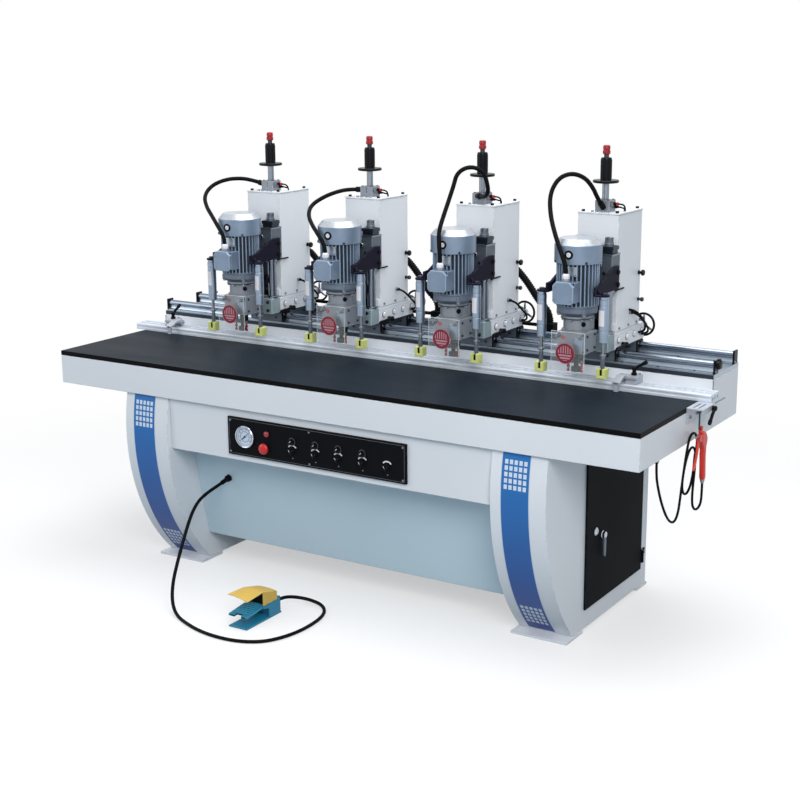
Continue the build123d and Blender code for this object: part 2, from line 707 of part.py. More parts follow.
def drill_parts():
    """Moving head: neck, spindle box, ram with its depth stop, side bits and guard."""
    half = 55.0
    neck_y = (spindle_y - 50.0, spindle_y + 57.0)
    box_y = (spindle_y - 47.0, spindle_y + 47.0)
    inner_front = column_front + sheet_wall + 1.0
    body = block((-half, half), neck_y, (box_top, motor_seat))
    body += block((-tongue_half, tongue_half), (neck_y[1], inner_front), tongue_z)
    body += block((-tongue_half, tongue_half), (inner_front, stop_y + 26.0), (tongue_z[0], ram_top))
    body += block((-half, half), box_y, (box_bottom, box_top))
    body -= bar_z(spindle_shaft + shaft_gap, 0.0, spindle_y, (box_bottom - cut_over, box_top - 16.0))
    disc_bottom = stop_block_top + feed_stroke + stroke_gap
    rod = bar_z(rod_radius, 0.0, stop_y, (ram_top, disc_bottom))
    disc = bar_z(47.0, 0.0, stop_y, (disc_bottom, disc_bottom + 9.0))
    sleeve = bar_z(20.0, 0.0, stop_y, (disc_bottom + 9.0, disc_bottom + 88.0))
    neck = bar_z(9.0, 0.0, stop_y, (disc_bottom + 88.0, disc_bottom + 100.0))
    cap = bar_z(13.5, 0.0, stop_y, (disc_bottom + 100.0, disc_bottom + 132.0))
    solids = [body, rod, disc, sleeve, neck, cap]
    bit_y = spindle_y - bit_setback
    tip = table_height + bit_clearance
    for x in (-bit_offset, bit_offset):
        chuck = bar_z(9.0, x, bit_y, (box_bottom - 30.0, box_bottom))
        solids.append(chuck + bar_z(5.0, x, bit_y, (tip, box_bottom - 30.0)))
    guard_y = (box_y[0] - 23.0, box_y[0] - 20.0)
    guard = block((-half - 11.0, half + 9.0), guard_y, (tip + 26.0, box_top + 5.0))
    post_z = (box_top - 21.0, box_top - 9.0)
    posts = [block((x - 6.0, x + 6.0), (guard_y[1], box_y[0]), post_z) for x in (-half + 11.0, half - 11.0)]
    return solids + [guard] + posts


def motor_parts():
    """Flange motor with its terminal box and cable gland."""
    top = motor_seat + motor_height
    flange_top = motor_seat + motor_flange_top
    cover_bottom = top - fan_cover_height
    outline = [(0, motor_seat), (motor_foot_radius, motor_seat),
               (motor_flange_radius, motor_seat + motor_flange_lift), (motor_flange_radius, flange_top),
               (motor_body_radius, flange_top), (motor_body_radius, cover_bottom),
               (motor_radius, cover_bottom), (motor_radius, top - motor_crown_height),
               (motor_crown_radius, top), (0, top)]
    body = turned(outline, 0.0, spindle_y)
    box = block(terminal_x, (spindle_y - terminal_reach, spindle_y - terminal_root), terminal_z) - body
    screw = hex_z(26.0, gland_place[0], gland_place[1], (terminal_z[1], gland_place[2]))
    return [body, box, screw]


def spindle_parts():
    """Centre spindle with the cup bit."""
    tip = table_height + bit_clearance
    shaft = bar_z(spindle_shaft, 0.0, spindle_y, (tip + 18.0, box_top - 20.0))
    chuck = bar_z(12.0, 0.0, spindle_y, (box_bottom - 32.0, box_bottom - 1.0))
    return [shaft + chuck + bar_z(17.5, 0.0, spindle_y, (tip, tip + 18.0))]


def clamp_feet_parts():
    """Rods and pads of both clamps."""
    low = table_height + pad_clearance
    pad_x = (clamp_offset - pad_half, clamp_offset + pad_half)
    pad = block(pad_x, (clamp_y - pad_half, clamp_y + pad_half), (low, low + pad_height))
    rod = bar_z(clamp_rod, clamp_offset, clamp_y, (low + pad_height, clamp_rod_top))
    return on_both_sides(pad) + on_both_sides(rod)


def wheel_parts():
    """Three-spoke handwheel on its shaft."""
    near = wheel_box_y[1] + 6.0
    hub = bar_y(13.0, wheel_x, (near, near + 20.0), wheel_z)
    shaft = bar_y(wheel_shaft, wheel_x, (wheel_box_y[0] + wheel_box_floor + stroke_gap, near), wheel_z)
    rim = Pos(wheel_x, near + 10.0, wheel_z) * Rot(90, 0, 0) * Torus(wheel_radius, wheel_rim_radius)
    wheel = hub + shaft + rim
    for angle in (90.0, 210.0, 330.0):
        spoke = Pos(26.0, 0, 0) * Box(32.0, 6.0, 8.0)
        wheel += Pos(wheel_x, near + 10.0, wheel_z) * Rot(0, angle, 0) * spoke
    return [wheel]


# Motor cables, each as offsets from the top of its gland
cable_routes = (
    [(0, 0, 0), (0, 0, 42), (-36, 6, 84), (-94, 42, 118), (-158, 86, 148), (-206, 132, 184),
     (-206, 180, 222), (-164, 222, 246), (-114, 260, 250), (-74, 286, 241), (-48, 300, 232)],
    [(0, 0, 0), (0, 0, 42), (-38, 8, 84), (-94, 46, 114), (-146, 96, 142), (-168, 146, 174),
     (-140, 196, 204), (-106, 240, 222), (-76, 276, 229), (-50, 298, 228)],
    [(0, 0, 0), (0, 0, 40), (-6, 2, 86), (-12, 12, 130), (-16, 46, 172), (-18, 88, 226), (-14, 122, 286),
     (-6, 128, 325), (20, 147, 349), (52, 171, 349), (77, 190, 325), (85, 196, 286), (82, 208, 262),
     (68, 222, 244), (46, 241, 236), (28, 256, 234), (10, 272, 233)],
    [(0, 0, 0), (0, 0, 40), (-20, 3, 84), (-60, 34, 140), (-104, 80, 204), (-130, 124, 272),
     (-116, 160, 326), (-78, 190, 344), (-38, 214, 328), (-14, 232, 292), (-4, 248, 256), (0, 272, 232)],
)

for index, (place, offsets) in enumerate(zip(head_places, cable_routes), 1):
    shift = Pos(place, 0, 0)
    route = [tuple(Vector(*gland_place) + Vector(*offset)) for offset in offsets]
    has_duct = index < len(head_places)
    head = {
        "carriage": carriage_parts(has_duct),
        "column": column_parts(has_duct, route[-2:]),
        "drill_head": drill_parts(),
        "motor": motor_parts(),
        "spindle": spindle_parts(),
        "clamp_feet": clamp_feet_parts(),
        "handwheel": wheel_parts(),
        "motor_cable": [tube(f"motor cable {index}", route, cable_radius)],
    }
    for name, solids in head.items():
        nodes[f"{name}_{index}"] = [shift * solid for solid in solids]


# Foot pedal on the floor with its treadle under a hood
pedal_x = (-196.0, -114.0)
pedal_y = (-298.0, -90.0)
pedal_plate = 6.0
treadle_axis_y = -150.0
treadle_axis_z = 62.0
treadle_pin = 4.0
cheek_width = 6.0
pedal_back = pedal_y[1] - 5.0
hood_back = -115.0
hood_skin = 3.0


def pedal_parts():
    """Base plate, valve body, cheeks and hood."""
    plate = block(pedal_x, pedal_y, (0, pedal_plate))
    body_x = (pedal_x[0] + cheek_width, pedal_x[1] - cheek_width)
    body = block(body_x, (treadle_axis_y + 10.0, pedal_back), (pedal_plate, treadle_axis_z + 2.0))
    solids = [plate, body]
    for low in (pedal_x[0], pedal_x[1] - cheek_width):
        cheek_z = (pedal_plate, treadle_axis_z + 12.0)
        cheek = block((low, low + cheek_width), (treadle_axis_y - 12.0, pedal_back), cheek_z)
        hole_x = (low - cut_over, low + cheek_width + cut_over)
        hole = bar_x(treadle_pin + shaft_gap, hole_x, treadle_axis_y, treadle_axis_z)
        solids.append(cheek - hole)
    roof = [(pedal_y[0], 116.0), (pedal_y[0], 119.0), (-250.0, 130.0), (hood_back, 99.0), (hood_back, 96.0),
            (-250.0, 127.0)]
    side = [(-228.0, 121.9), (hood_back, 96.0), (hood_back, 14.0), (-150.0, 14.0), (-196.0, 70.0),
            (-214.0, 92.0)]
    hood = prism_x(roof, (pedal_x[0] - hood_skin, pedal_x[1] + hood_skin))
    for low in (pedal_x[0] - hood_skin, pedal_x[1]):
        hood += prism_x(side, (low, low + hood_skin))
    return solids + [hood]


def treadle_parts():
    """Treadle plate on its pivot barrel."""
    inner = (pedal_x[0] + cheek_width + stroke_gap, pedal_x[1] - cheek_width - stroke_gap)
    front = pedal_y[0] + 13.0
    plate = prism_x([(treadle_axis_y, 67.0), (treadle_axis_y, 59.0), (front, 42.0), (front, 50.0)], inner)
    middle = (inner[0] + inner[1]) / 2
    plate -= block((middle - 14.0, middle + 14.0), (front - cut_over, front + 16.0), (30.0, 60.0))
    plate += bar_x(7.0, inner, treadle_axis_y, treadle_axis_z)
    return [plate + bar_x(treadle_pin, pedal_x, treadle_axis_y, treadle_axis_z)]


nodes["foot_pedal"] = pedal_parts()
nodes["treadle"] = treadle_parts()


# Air gun hanging on the hook at the right end of the table, heights measured from the table surface
gun_half = 13.0
gun_top = table_height - 83.0
trigger_axis = (hook_y - 3.0, table_height - 103.0)
trigger_half = 4.0
trigger_pin = 2.5
gun_foot = (hook_y + 50.0, table_height - 257.0)


def gun_outline(points):
    """Side view with places from the hook turned into places from the table front and the floor."""
    return [(hook_y + y, table_height + z) for y, z in points]


def gun_parts():
    """Gun body with a hanging eye, and its nozzle."""
    eye_z = hook_low - hook_radius
    outline = gun_outline([(-6, -113), (-6, -91), (6, -83), (38, -83), (48, -107), (62, -253), (59, -257),
                           (38, -257), (34, -253), (22, -119), (10, -113)])
    body = prism_x(outline, (hook_x - gun_half, hook_x + gun_half))
    slot_half = trigger_half + shaft_end_gap
    slot_y = (hook_y - 12.0, hook_y + 6.5)
    body -= block((hook_x - slot_half, hook_x + slot_half), slot_y, (gun_top - 38.0, gun_top + 4.0))
    pin_x = (hook_x - gun_half - cut_over, hook_x + gun_half + cut_over)
    body -= bar_x(trigger_pin + shaft_gap, pin_x, *trigger_axis)
    eye_y = (hook_y + 10.0, hook_y + 22.0)
    eye = block((hook_x - 8.0, hook_x + 8.0), eye_y, (gun_top, eye_z + 9.0))
    eye -= bar_y(hook_radius + shaft_gap, hook_x, (eye_y[0] - cut_over, eye_y[1] + cut_over), eye_z)
    nozzle = bar_y(5.0, hook_x + gun_half - 6.0, (hook_y - 30.0, hook_y - 6.0), gun_top - 12.0)
    return [body, eye, nozzle]


def trigger_parts():
    """Lever in the slot at the top of the gun."""
    outline = gun_outline([(-6, -99), (1, -99), (2, -115), (7, -151), (15, -211), (10, -211), (0, -151),
                           (-8, -115)])
    arm = prism_x(outline, (hook_x - trigger_half, hook_x + trigger_half))
    pin = bar_x(trigger_pin, (hook_x - gun_half, hook_x + gun_half), *trigger_axis)
    return [arm + pin]


nodes["air_gun"] = gun_parts()
nodes["gun_trigger"] = trigger_parts()


# Hoses: the pedal hose along the floor, and the air hose with its hanging loops
pedal_hose_radius = 6.5
air_hose_radius = 4.25
floor_run = pedal_hose_radius + 0.5
floor_crest = floor_run + 0.5
gland_tip = gland_root + slope_normal * gland_length
gland_out = gland_tip + slope_normal * 44.0
pedal_hose_points = [
    tuple(gland_tip), tuple(gland_out), (-557, 44, 356), (-549, -20, 343),
    (-526, -88, 318), (-504, -147, 277), (-484, -202, 228), (-470, -248, 176), (-468, -277, 118),
    (-460, -298, 62), (-436, -318, 24), (-394, -340, floor_run), (-330, -370, floor_crest),
    (-262, -394, floor_run), (-190, -408, floor_crest), (-116, -408, floor_run), (-50, -394, floor_crest),
    (6, -358, floor_run), (40, -300, floor_crest), (58, -228, floor_run), (62, -152, floor_crest),
    (54, -78, floor_run), (32, -18, floor_crest), (-10, 24, 10), (-62, 28, 18), (-106, 2, 30),
    (-132, -50, 44), (-132, pedal_back, 44),
]
nodes["pedal_hose"] = [tube("pedal hose", pedal_hose_points, pedal_hose_radius)]

# The air hose is measured from the end of the table and the underside of its apron
air_hose_route = [
    (-15, 177, -14), (-15, 177, -56), (-11, 188, -104), (-5, 204, -154), (1, 228, -202), (6, 260, -238),
    (9, 296, -246), (10, 322, -218), (10, 334, -174), (10, 346, -126), (10, 360, -76), (10, 376, -26),
    (11, 391, 17), (12, 410, 35), (13, 437, 34), (15, 455, 16), (17, 454, -13), (20, 426, -46),
    (20, 424, -84), (20, 412, -120), (20, 394, -150), (19, 368, -165), (19, 340, -158), (19, 324, -134),
    (20, 324, -100), (21, 334, -64), (22, 350, -32), (23, 370, -9), (24, 396, -4), (25, 417, -20),
    (26, 421, -50), (28, 412, -92), (30, 400, -126), (33, 386, -160), (36, 378, -185), (38, 378, -208.4),
    (40.5, 395.6, -226), (43.5, 420.4, -226), (46, 438, -208.4),
    (hook_x - table_half, gun_foot[0], gun_foot[1] - apron_bottom - 38),
    (hook_x - table_half, gun_foot[0], gun_foot[1] - apron_bottom),
]
air_hose_points = [(table_half + x, y, apron_bottom + z) for x, y, z in air_hose_route]
nodes["air_hose"] = [tube("air hose", air_hose_points, air_hose_radius)]


# Origin at the middle of the floor area, measured without the hoses and cables
cords = [name for name in nodes if "hose" in name or "cable" in name]
own = [solid.bounding_box() for name, solids in nodes.items() if name not in cords for solid in solids]
middle_x = (min(b.min.X for b in own) + max(b.max.X for b in own)) / 2
middle_y = (min(b.min.Y for b in own) + max(b.max.Y for b in own)) / 2
floor_z = min(b.min.Z for b in own)
to_origin = Pos(-middle_x, -middle_y, -floor_z)
print(f"origin at {middle_x:.3f}, {middle_y:.3f}, {floor_z:.3f}, {len(nodes)} nodes")
for name, solids in nodes.items():
    placed = [to_origin * solid for solid in solids]
    shape = placed[0] if len(placed) == 1 else Compound(children=placed)
    export_step(shape, f"parts/{name}.step")
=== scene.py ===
"""A four-head hinge boring machine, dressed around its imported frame."""
import logging
import math
from contextlib import contextmanager
from dataclasses import dataclass
from enum import Enum
from typing import Any, Callable, Iterator, Optional, Sequence, Union

import bpy
from mathutils import Matrix, Vector


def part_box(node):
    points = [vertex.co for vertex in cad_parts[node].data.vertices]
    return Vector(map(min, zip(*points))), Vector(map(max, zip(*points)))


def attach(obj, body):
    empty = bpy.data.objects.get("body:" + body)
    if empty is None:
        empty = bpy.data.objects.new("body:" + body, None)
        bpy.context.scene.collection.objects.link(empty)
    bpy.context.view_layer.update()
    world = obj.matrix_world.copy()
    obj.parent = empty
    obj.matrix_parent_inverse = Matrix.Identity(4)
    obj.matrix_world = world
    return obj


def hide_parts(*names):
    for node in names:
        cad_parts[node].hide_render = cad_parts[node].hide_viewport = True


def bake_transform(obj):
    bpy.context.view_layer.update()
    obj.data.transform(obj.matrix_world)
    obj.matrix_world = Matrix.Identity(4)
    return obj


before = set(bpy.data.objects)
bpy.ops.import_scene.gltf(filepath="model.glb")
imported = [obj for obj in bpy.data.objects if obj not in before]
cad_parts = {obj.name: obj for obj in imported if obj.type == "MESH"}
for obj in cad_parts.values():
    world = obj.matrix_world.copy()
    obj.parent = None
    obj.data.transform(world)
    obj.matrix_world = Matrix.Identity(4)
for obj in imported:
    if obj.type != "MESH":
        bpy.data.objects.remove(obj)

LOG = logging.getLogger("boring_machine")
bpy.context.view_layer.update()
MM = 0.001
RIM = "rim"
COAT_ROUGHNESS = 0.15
SMOOTH_ANGLE = 35.0
TABLE_LOW, TABLE_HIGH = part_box("table_top")
TABLE_FRONT = Vector(((TABLE_LOW.x + TABLE_HIGH.x) / 2, TABLE_LOW.y, 0.0))

Piece = bpy.types.Object
Point = Sequence[float]
Pair = tuple[float, float]
Colour = tuple[int, int, int]
Paint = tuple[float, float, float, float]
Test = Callable[[Vector, Vector], bool]


def shop(x: float, y: float, z: float) -> Vector:
    """Place a point in the shared frame.

    Args:
        x: Millimetres to the right of the table's middle.
        y: Millimetres behind the table's front edge.
        z: Millimetres above the floor.

    Returns:
        The point in metres.
    """
    return TABLE_FRONT + Vector((x, y, z)) * MM


def linear(colour: Colour, factor: float = 1.0) -> Paint:
    """Turn a screen colour (0 to 255), made lighter or darker, into the shader's scale.

    Args:
        colour: The colour as seen on a screen.
        factor: How much lighter it becomes.

    Returns:
        Red, green and blue as light, and an alpha of 1.
    """
    seen = [max(0, min(255, round(c * factor))) / 255 for c in colour]
    light = [c / 12.92 if c <= 0.04045 else ((c + 0.055) / 1.055) ** 2.4 for c in seen]
    return (*light, 1.0)


def arc(centre: Pair, radius: float, start: float, end: float, steps: int) -> list[Pair]:
    """List the corners of an arc.

    Args:
        centre: Middle of the arc.
        radius: Its radius.
        start: First angle in degrees.
        end: Last angle in degrees.
        steps: Number of sides along it.

    Returns:
        The corners from start to end.
    """
    turns = [math.radians(start + (end - start) * i / steps) for i in range(steps + 1)]
    return [(centre[0] + radius * math.cos(t), centre[1] + radius * math.sin(t)) for t in turns]


class Axis(Enum):
    """Directions that a turned or extruded piece can run in."""

    X = ((0, 0, 1), (1, 0, 0), (0, 1, 0))
    Y = ((1, 0, 0), (0, 0, 1), (0, 1, 0))
    Z = ((1, 0, 0), (0, 1, 0), (0, 0, 1))

    def place(self, at: Point) -> Matrix:
        """Give the matrix that stands a piece on this axis at a point."""
        return Matrix.Translation(shop(*at)) @ Matrix(self.value).to_4x4()


X, Y, Z = Axis


class Slot(Enum):
    """Material slots of the record."""

    WHITE = "white_paint"
    TOP = "black_top"
    STEEL = "steel"
    ALUMINIUM = "aluminium"
    PLASTIC = "black_plastic"
    RED = "red_plastic"
    BLACK = "black_paint"
    CHROME = "chrome"
    TEAL = "teal_paint"
    HOSE = "hose_rubber"
    MOTOR = "motor_grey"
    PAD = "pad_plastic"


class Wire:
    """A value in a material's nodes that takes part in sums."""

    def __init__(self, tree: "ShaderTree", socket: bpy.types.NodeSocket) -> None:
        """Keep the tree and the socket that gives the value."""
        self.tree = tree
        self.socket = socket

    def sum(self, operation: str, first: Any, second: Any) -> "Wire":
        """Add a Math node for two values or wires."""
        return self.tree.node("ShaderNodeMath", {"operation": operation}, {0: first, 1: second})

    def __add__(self, other: Any) -> "Wire":
        """Add."""
        return self.sum("ADD", self, other)

    def __sub__(self, other: Any) -> "Wire":
        """Take away."""
        return self.sum("SUBTRACT", self, other)

    def __rsub__(self, other: Any) -> "Wire":
        """Take this away from a number."""
        return self.sum("SUBTRACT", other, self)

    def __mul__(self, other: Any) -> "Wire":
        """Multiply."""
        return self.sum("MULTIPLY", self, other)

    def __truediv__(self, other: Any) -> "Wire":
        """Divide."""
        return self.sum("DIVIDE", self, other)

    def __rtruediv__(self, other: Any) -> "Wire":
        """Divide a number by this."""
        return self.sum("DIVIDE", other, self)

    def __mod__(self, other: Any) -> "Wire":
        """Give what is left after whole steps, never below nought."""
        return self.sum("FLOORED_MODULO", self, other)

    def __gt__(self, other: Any) -> "Wire":
        """Give 1 where this is the greater."""
        return self.sum("GREATER_THAN", self, other)

    def __lt__(self, other: Any) -> "Wire":
        """Give 1 where this is the less."""
        return self.sum("LESS_THAN", self, other)

    def between(self, low: float, high: float) -> "Wire":
        """Give 1 between two values."""
        return (self > low) * (self < high)

    __radd__ = __add__
    __rmul__ = __mul__


class ShaderTree:
    """The nodes of one material or of the world."""

    def __init__(self, tree: bpy.types.NodeTree) -> None:
        """Start from an empty tree."""
        self.tree = tree
        self.tree.nodes.clear()

    def node(self, kind: str, settings: Optional[dict[str, Any]] = None,
             inputs: Optional[dict[Union[int, str], Any]] = None,
             output: Union[int, str] = 0) -> Wire:
        """Add any node.

        Args:
            kind: The node's type.
            settings: Its settings, set before its sockets.
            inputs: Values or wires of its sockets.
            output: The output to hand on.

        Returns:
            The output as a wire.
        """
        made = self.tree.nodes.new(kind)
        for key, value in (settings or {}).items():
            setattr(made, key, value)
        for key, value in (inputs or {}).items():
            if isinstance(value, Wire):
                self.tree.links.new(value.socket, made.inputs[key])
            else:
                made.inputs[key].default_value = value
        return Wire(self, made.outputs[output] if made.outputs else None)

    def point(self) -> Wire:
        """Give the place on the piece."""
        return self.node("ShaderNodeTexCoord", output="Object")

    def part(self, vector: Wire, name: str) -> Wire:
        """Give one part, X, Y or Z, of a vector."""
        return self.node("ShaderNodeSeparateXYZ", {}, {0: vector}, name)

    def noise(self, scale: float, detail: float = 2.0, stretch: Point = (1.0, 1.0, 1.0)) -> Wire:
        """Add soft noise over the piece.

        Args:
            scale: Spots in a metre.
            detail: Finer levels in it.
            stretch: How much closer the spots lie along each axis.

        Returns:
            A value from 0 to 1.
        """
        spread = self.node("ShaderNodeMapping", {},
                           {"Vector": self.point(), "Scale": tuple(stretch)})
        return self.node("ShaderNodeTexNoise", {},
                         {"Vector": spread, "Scale": scale, "Detail": detail})

    def mix(self, factor: Any, first: Any, second: Any) -> Wire:
        """Mix two colours."""
        return self.node("ShaderNodeMix", {"data_type": "RGBA"},
                         {0: factor, 6: first, 7: second}, 2)

    def rims(self) -> Wire:
        """Give 1 on the rounded edges of a piece and 0 on its faces."""
        return self.node("ShaderNodeAttribute", {"attribute_name": RIM}, output="Fac")

    def bump(self, height: Wire, strength: float, depth: float = 0.0003) -> Wire:
        """Turn heights into a bumped normal."""
        return self.node("ShaderNodeBump", {},
                         {"Height": height, "Strength": strength, "Distance": depth})

    def shader(self, inputs: dict[str, Any]) -> Wire:
        """Add the surface shader."""
        return self.node("ShaderNodeBsdfPrincipled", {}, inputs)

    def close(self, surface: Wire, kind: str = "ShaderNodeOutputMaterial") -> None:
        """Join a shader to the output."""
        self.node(kind, {}, {"Surface": surface})


@dataclass(frozen=True)
class Finish:
    """A smooth finish of one colour; other finishes vary it."""

    name: str
    slot: Slot
    colour: Colour
    roughness: float = 0.4
    metallic: float = 0.0
    coat: float = 0.0
    gloss: float = 0.4

    def material(self) -> bpy.types.Material:
        """Make the material, or give the one made before.

        Returns:
            The material.
        """
        made = bpy.data.materials.get(self.name)
        if made is None:
            made = bpy.data.materials.new(self.name)
            made.use_nodes = True
            tree = ShaderTree(made.node_tree)
            plain = {"Base Color": linear(self.colour), "Roughness": self.roughness,
                     "Metallic": self.metallic, "Coat Weight": self.coat,
                     "Coat Roughness": COAT_ROUGHNESS, "Specular IOR Level": self.gloss}
            tree.close(tree.shader(plain | self.surface(tree)))
        return made

    def tones(self, tree: ShaderTree, factor: Any, dark: float, light: float) -> Wire:
        """Mix a darker and a lighter tone of the colour."""
        return tree.mix(factor, linear(self.colour, dark), linear(self.colour, light))

    def surface(self, tree: ShaderTree) -> dict[str, Any]:
        """Give what varies over the surface."""
        return {"Roughness": self.roughness + (tree.noise(9.0) - 0.5) * 0.15}


@dataclass(frozen=True)
class Enamel(Finish):
    """Sprayed paint: faint clouds, orange peel and rubbed edges."""

    worn: Colour = (190, 190, 188)
    peel: float = 0.06

    def surface(self, tree: ShaderTree) -> dict[str, Any]:
        """Give clouds, peel and edges.

        Args:
            tree: The material's nodes.

        Returns:
            The sockets that vary.
        """
        cloud = tree.noise(2.4, 2.0)
        grain = tree.noise(360.0, 1.0)
        body = self.tones(tree, cloud, 0.978, 1.018)
        rub = tree.rims() * (tree.noise(45.0, 3.0) > 0.5) * 0.45
        return {"Base Color": tree.mix(rub, body, linear(self.worn)),
                "Roughness": self.roughness + (cloud - 0.5) * 0.12 + (grain - 0.5) * 0.06,
                "Normal": tree.bump(grain, self.peel)}


@dataclass(frozen=True)
class Metal(Finish):
    """Machined metal with fine lines along one axis."""

    metallic: float = 1.0
    lines: tuple[float, float, float] = (1.0, 30.0, 30.0)
    depth: float = 0.05

    def surface(self, tree: ShaderTree) -> dict[str, Any]:
        """Give tool lines and handling marks.

        Args:
            tree: The material's nodes.

        Returns:
            The sockets that vary.
        """
        line = tree.noise(22.0, 4.0, self.lines)
        cloud = tree.noise(14.0, 3.0)
        return {"Base Color": self.tones(tree, line * 0.65 + cloud * 0.35, 0.84, 1.1),
                "Roughness": self.roughness + (line - 0.5) * 0.2 + (cloud - 0.5) * 0.12,
                "Normal": tree.bump(line, self.depth)}


@dataclass(frozen=True)
class Casting(Finish):
    """A painted casting: pebbled skin, painted shade in its hollows and painted edge highlights."""

    def surface(self, tree: ShaderTree) -> dict[str, Any]:
        """Give the pebbles, the painted shade in their hollows and the painted edge highlights.

        Args:
            tree: The material's nodes.

        Returns:
            The sockets that vary.
        """
        pebble = tree.noise(520.0, 3.0)
        # The pebble height also sets the tone, so the skin's hollows get painted shade.
        body = self.tones(tree, tree.noise(16.0, 3.0) * 0.6 + pebble * 0.4, 0.84, 1.14)
        # Every rounded edge is mixed towards a lighter tone as a painted highlight.
        return {"Base Color": tree.mix(tree.rims() * 0.45, body, linear(self.colour, 1.45)),
                "Roughness": self.roughness + (pebble - 0.5) * 0.25,
                "Normal": tree.bump(pebble, 0.18, 0.0006)}


@dataclass(frozen=True)
class Moulded(Finish):
    """Moulded plastic or rubber with a fine matt grain."""

    grain: float = 700.0

    def surface(self, tree: ShaderTree) -> dict[str, Any]:
        """Give the grain and a faint bloom.

        Args:
            tree: The material's nodes.

        Returns:
            The sockets that vary.
        """
        grain = tree.noise(self.grain, 2.0)
        cloud = tree.noise(24.0, 2.0)
        return {"Base Color": self.tones(tree, cloud, 0.88, 1.12),
                "Roughness": self.roughness + (grain - 0.5) * 0.2 + (cloud - 0.5) * 0.1,
                "Normal": tree.bump(grain, 0.1)}


@dataclass(frozen=True)
class Laminate(Finish):
    """Dark laminated board: pin-prick texture, wiping marks and a low sheen."""

    def surface(self, tree: ShaderTree) -> dict[str, Any]:
        """Give the texture, speckle and wiping marks.

        Args:
            tree: The material's nodes.

        Returns:
            The sockets that vary.
        """
        prick = tree.noise(900.0, 2.0)
        wipe = tree.noise(2.2, 4.0, (1.0, 3.0, 1.0))
        fleck = tree.noise(420.0, 1.0) > 0.7
        body = self.tones(tree, wipe, 0.92, 1.1)
        return {"Base Color": tree.mix(fleck * 0.18, body, linear(self.colour, 1.5)),
                "Roughness": self.roughness + (wipe - 0.5) * 0.2 + (prick - 0.5) * 0.1,
                "Normal": tree.bump(prick, 0.12)}


@dataclass(frozen=True)
class Ruled(Metal):
    """Anodised aluminium with a ruler's marks along X on its front half."""

    metallic: float = 0.35
    near: float = 0.0
    far: float = 1.0

    def surface(self, tree: ShaderTree) -> dict[str, Any]:
        """Give the marks over the metal's own lines.

        Args:
            tree: The material's nodes.

        Returns:
            The sockets that vary.
        """
        metal = super().surface(tree)
        along = tree.part(tree.point(), "X")
        depth = (tree.part(tree.point(), "Y") - self.near) / (self.far - self.near)
        fine = (along % 0.005 < 0.0011) * depth.between(0.1, 0.45)
        long = (along % 0.05 < 0.0018) * depth.between(0.1, 0.9)
        mark = (fine + long > 0.5) * 0.8
        return metal | {"Base Color": tree.mix(mark, metal["Base Color"], linear((40, 44, 52))),
                        "Metallic": (1.0 - mark) * self.metallic}


@dataclass(frozen=True)
class LegPrint(Finish):
    """The printed strip on a leg: blue fading down, with two fields of pale squares."""

    low: Colour = (50, 70, 140)
    pale: Colour = (214, 224, 234)
    rows: int = 35
    columns: int = 6

    def surface(self, tree: ShaderTree) -> dict[str, Any]:
        """Give the fade, the squares and the edge lines on the strip's own map.

        Args:
            tree: The material's nodes.

        Returns:
            The sockets that vary.
        """
        flat = tree.node("ShaderNodeTexCoord", output="UV")
        across, along = tree.part(flat, "X"), tree.part(flat, "Y")
        row = along * self.rows
        fields = row.between(29.0, 34.0) + row.between(2.0, 7.0)
        cell = (across * self.columns + 0.5) % 1.0
        inside = fields * across.between(0.083, 0.917)
        square = cell.between(0.16, 0.84) * (row % 1.0).between(0.14, 0.86) * inside
        fade = tree.noise(30.0, 2.0) * 0.2 + 0.8
        line = (across < 0.018) + (across > 0.982)
        blue = tree.mix(along, linear(self.low), linear(self.colour))
        return {"Base Color": tree.mix(square * fade + line * 0.7, blue, linear(self.pale)),
                "Roughness": self.roughness + (tree.noise(40.0) - 0.5) * 0.1}


@dataclass(frozen=True)
class Clear(Finish):
    """Clear sheet: thin tint, sharp gloss and a few scratches."""

    alpha: float = 0.2

    def surface(self, tree: ShaderTree) -> dict[str, Any]:
        """Give the tint and the scratches.

        Args:
            tree: The material's nodes.

        Returns:
            The sockets that vary.
        """
        scratch = tree.noise(30.0, 5.0, (1.0, 1.0, 14.0)) > 0.66
        return {"Alpha": self.alpha + scratch * 0.03 + tree.rims() * 0.4,
                "Roughness": self.roughness + scratch * 0.2}


@dataclass(frozen=True)
class Disc(Finish):
    """A printed disc that stands upright and faces the front, round a centre in X and Z."""

    x: float = 0.0
    z: float = 0.0
    radius: float = 0.036

    def polar(self, tree: ShaderTree) -> tuple[Wire, Wire, Wire]:
        """Measure a place from the disc's middle.

        Args:
            tree: The material's nodes.

        Returns:
            Metres to the right, metres up, and the distance as a share of the radius.
        """
        right = tree.part(tree.point(), "X") - self.x
        up = tree.part(tree.point(), "Z") - self.z
        return right, up, right.sum("SQRT", right * right + up * up, 0.0) / self.radius


@dataclass(frozen=True)
class Face(Disc):
    """A gauge face: white card with marks round its middle."""

    def surface(self, tree: ShaderTree) -> dict[str, Any]:
        """Give the ring of marks and the blue and pale fields.

        Args:
            tree: The material's nodes.

        Returns:
            The sockets that vary.
        """
        right, up, out = self.polar(tree)
        turn = right.sum("ARCTAN2", up, right) / math.tau
        open_part = 1.0 - up.between(-1.0, -self.radius * 0.55)
        fine = (turn % (1 / 40) < 0.006) * out.between(0.74, 0.88)
        bold = (turn % (1 / 10) < 0.013) * out.between(0.62, 0.9)
        ink = (fine + bold) * open_part + out.between(0.87, 0.9) > 0.5
        card = tree.mix(out.between(0.5, 0.6), linear(self.colour), linear((120, 150, 190)))
        return {"Base Color": tree.mix(ink, card, linear((26, 30, 40)))}


